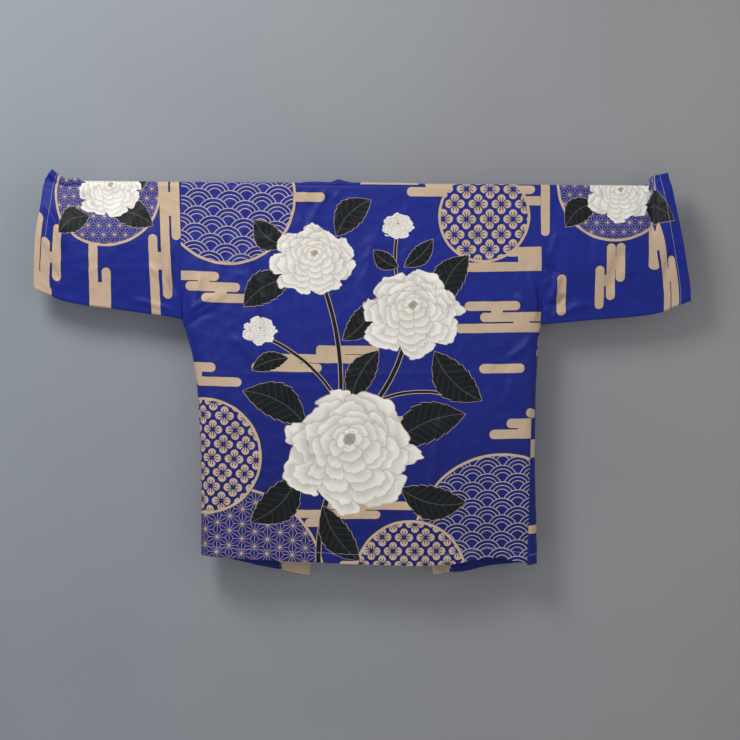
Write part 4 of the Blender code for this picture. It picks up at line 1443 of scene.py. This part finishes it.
def leg_place(table, side, across, share):
    """A place on a leg of the band: share runs from the hem up to the neck's corner."""

    def at(z):
        return read(table, "z", "seam", z) - side * across * read(table, "z", "width", z)

    foot = QUARTER - read(FRONT_HEM, "x", "z", at(np.full(np.shape(across), BAND_END)))
    outer = between(foot, -BAND_BEHIND, share)
    blend = (outer + BAND_BEHIND) / (LEG_BLEND + BAND_BEHIND)
    fanned = between(NECK_FALL + NECK_DROP, LEG_BLEND, blend)
    fall = between(outer, np.where(outer > LEG_BLEND, outer, fanned), across)
    z = np.minimum(QUARTER - fall, 0)
    turn = read(table, "z", "turn", z) * smooth(across) * smooth((outer + BAND_BEHIND) / TURN_OVER)
    return on_front(at(z), fall, turn)


def neck_place(across, share):
    """A place on the band round the back of the neck, from its left corner to its right."""
    inner_half = NECK_HALF - BAND
    x = between(between(-NECK_HALF, NECK_HALF, share), between(-inner_half, inner_half, share), across)
    gap = inner_half * (1 - abs(2 * share - 1))
    dip = NECK_DROP * np.clip(1 - gap / NECK_DROP_REACH, 0, 1) ** 2
    return on_front(x, between(-BAND_BEHIND, NECK_FALL + dip, across), 0)


def band_place(across, along):
    """A place on the whole band: along runs 0 to 1 up the left leg, to 2 round the neck, to 3 down."""
    left = leg_place(LEFT_COLLAR, -1, across, np.clip(along, 0, 1))
    neck = neck_place(across, np.clip(along - 1, 0, 1))
    right = leg_place(RIGHT_COLLAR, 1, across, np.clip(3 - along, 0, 1))
    along = along[..., None]
    return np.where(along < 1, left, np.where(along <= 2, neck, right))


fold = np.linspace(0, math.pi, 7)
fold_in, fold_deep = BAND_FOLD * (1 - np.sin(fold)), BAND_FOLD * (1 - np.cos(fold))
face = spaced(BAND_FOLD, BAND - BAND_FOLD, FACE_SPACING)
band_across = np.concatenate(
    [fold_in[3::-1], face, BAND - fold_in[1:], face[-2::-1], [BAND_FOLD], fold_in[:3:-1]]
)
band_depths = np.concatenate(
    [fold_deep[3::-1], 0 * face, fold_deep[1:], 0 * face + 2 * BAND_FOLD, fold_deep[:3:-1]]
)
leg_rows = np.linspace(0, 1, LEG_ROWS)
band_along = np.concatenate([leg_rows, 1 + spaced(0, 1, 1 / NECK_ROWS), 2 + leg_rows[1:]])
a, b = np.meshgrid(band_across / BAND, band_along)
base = band_place(a, b)
facing = normals(band_place, a, b, -1)
from_end = np.minimum(b, 3 - b) * LEG_LENGTH
closing = between(CLOSED, 1, smooth(from_end / CLOSED_OVER))
x, y, z = np.moveaxis(base, -1, 0)
rise = BAND_LIFT + ripples(x, z * BAND_STRETCH, BAND_RIPPLE) * smooth(-z / 0.05)
fall = np.where(z > 0, np.arctan2(y, z) * OVER_ROD, QUARTER - z)
for pucker in PUCKERS:
    off = ((x - pucker.x) / pucker.width) ** 2 + ((fall - pucker.fall) / pucker.depth) ** 2
    rise = rise + pucker.height * np.exp(-off)
spots = base + facing * (rise - closing * np.meshgrid(band_depths, band_along)[0])[..., None]
middle_line = base[:, len(band_across) // 4]
lengths = np.concatenate([[0], np.cumsum(np.linalg.norm(np.diff(middle_line, axis=0), axis=-1))])
u = np.repeat(lengths[:, None] - lengths[-1] / 2, len(band_across), axis=1)
v = path_beyond(base, 0, 1)
collar_print = cloth_materials(
    "collar print",
    rows(
        Bar,
        (0, 420, 3), (60, 260, 40), (-420, -170, 44), (-560, -300, 24), (470, 640, 30), (0, 300, 100),
    ),
    [Bridge(-1000, -720, -20, 140), Bridge(700, 1000, -20, 140), Bridge(90, 130, 16, 42)],
    [],
)
collar_band = lay_cloth("collar_band", "collar", spots, u, v, collar_print, -1)

# The room is a plain pale floor and a grey wall that casts no shadow and is clear from behind.
FLOOR = -1.45
CAMERA_ROLL = math.radians(0.48)
CAMERA_DISTANCE = 3.2
CAMERA_X, CAMERA_Y, CAMERA_Z = 0.0221, -0.013 - CAMERA_DISTANCE, -0.3627
SENSOR_WIDTH = 36.0  # in millimetres
VIEW_WIDTH = 1.48  # seen at that distance
WALL_BEHIND, WALL_HALF, FLOOR_HALF = 0.062, 2.2, 4.0


def stage_plane(name, size, matrix, material):
    shape = bmesh.new()
    bmesh.ops.create_grid(shape, x_segments=1, y_segments=1, size=size, matrix=matrix)
    made = made_object(name, shape, material)
    return made


wall_paint, paint_tree, painted_wall = new_material("wall paint")
set_inputs(painted_wall, Roughness=0.95)
wall_place, facing_away = added(paint_tree, "TexCoord"), added(paint_tree, "NewGeometry")
mottle = added(paint_tree, "TexNoise", Scale=2.4)
level = added(paint_tree, "MapRange", From_Min=0.3, From_Max=0.7, To_Min=0.965, To_Max=1.035)
across_wall = added(paint_tree, "SeparateXYZ")
# painted cool light: the wall is bluer on its left, where cool light falls, and neutral on its right
cool_light_tint = ramp(paint_tree, (0.35, (0.290, 0.317, 0.352, 1)), (0.66, (0.314, 0.314, 0.321, 1)))
mottled = added(paint_tree, "HueSaturation")
unseen, either = added(paint_tree, "BsdfTransparent"), added(paint_tree, "MixShader")
for start, output, end, socket in (
    (wall_place, "Object", mottle, "Vector"),
    (mottle, "Fac", level, "Value"),
    (level, "Result", mottled, "Value"),
    (wall_place, "Generated", across_wall, 0),
    (across_wall, "X", cool_light_tint, 0),
    (cool_light_tint, "Color", mottled, "Color"),
    (mottled, "Color", painted_wall, "Base Color"),
    (facing_away, "Backfacing", either, 0),
    (painted_wall, 0, either, 1),
    (unseen, 0, either, 2),
    (either, 0, paint_tree.nodes["Material Output"], "Surface"),
):
    join(start, output, end, socket)
wall_middle = Matrix.Translation((0, WALL_BEHIND, FLOOR + WALL_HALF))
wall = stage_plane("wall", WALL_HALF, wall_middle @ Matrix.Rotation(math.pi / 2, 4, "X"), wall_paint)
wall.visible_shadow = False

floor_paint, _, painted_floor = new_material("floor paint")
set_inputs(painted_floor, Base_Color=(0.62, 0.62, 0.61, 1), Roughness=0.8)
stage_plane("floor", FLOOR_HALF, Matrix.Translation((0, 0, FLOOR)), floor_paint)


def soft_light(name, place, aim, size, power, colour):
    lamp = bpy.data.lights.new(name, "AREA")
    lamp.shape = "DISK"
    lamp.size = size
    lamp.energy = power
    lamp.color = colour
    held = placed(name, lamp)
    held.location = place
    held.rotation_euler = (Vector(aim) - Vector(place)).to_track_quat("-Z", "Y").to_euler()


soft_light("window", (-1.00, -1.45, 1.20), (-0.1, 0, -0.3), 1.0, 31, (1.0, 0.99, 0.975))
soft_light("fill", (2.6, -2.8, 0.2), (0, 0, -0.35), 2.2, 10, (1.0, 0.97, 0.94))
soft_light("room behind", (0.8, 3.0, 0.8), (0, 0, -0.35), 2.4, 50, (1.0, 0.99, 0.97))
room = bpy.data.worlds.new("room")
room.use_nodes = True
set_inputs(room.node_tree.nodes["Background"], Color=(0.84, 0.85, 0.88, 1), Strength=0.53)
bpy.context.scene.world = room
bpy.context.scene.view_settings.view_transform = "Standard"

lens = bpy.data.cameras.new("camera")
lens.sensor_width = SENSOR_WIDTH
lens.lens = SENSOR_WIDTH * CAMERA_DISTANCE / VIEW_WIDTH
camera = placed("camera", lens)
cosine, sine = math.cos(CAMERA_ROLL), math.sin(CAMERA_ROLL)
camera.matrix_world = Matrix.Translation((CAMERA_X, CAMERA_Y, CAMERA_Z)) @ Matrix(
    ((cosine, -sine, 0, 0), (0, 0, -1, 0), (sine, cosine, 0, 0), (0, 0, 0, 1))
)
bpy.context.scene.camera = camera
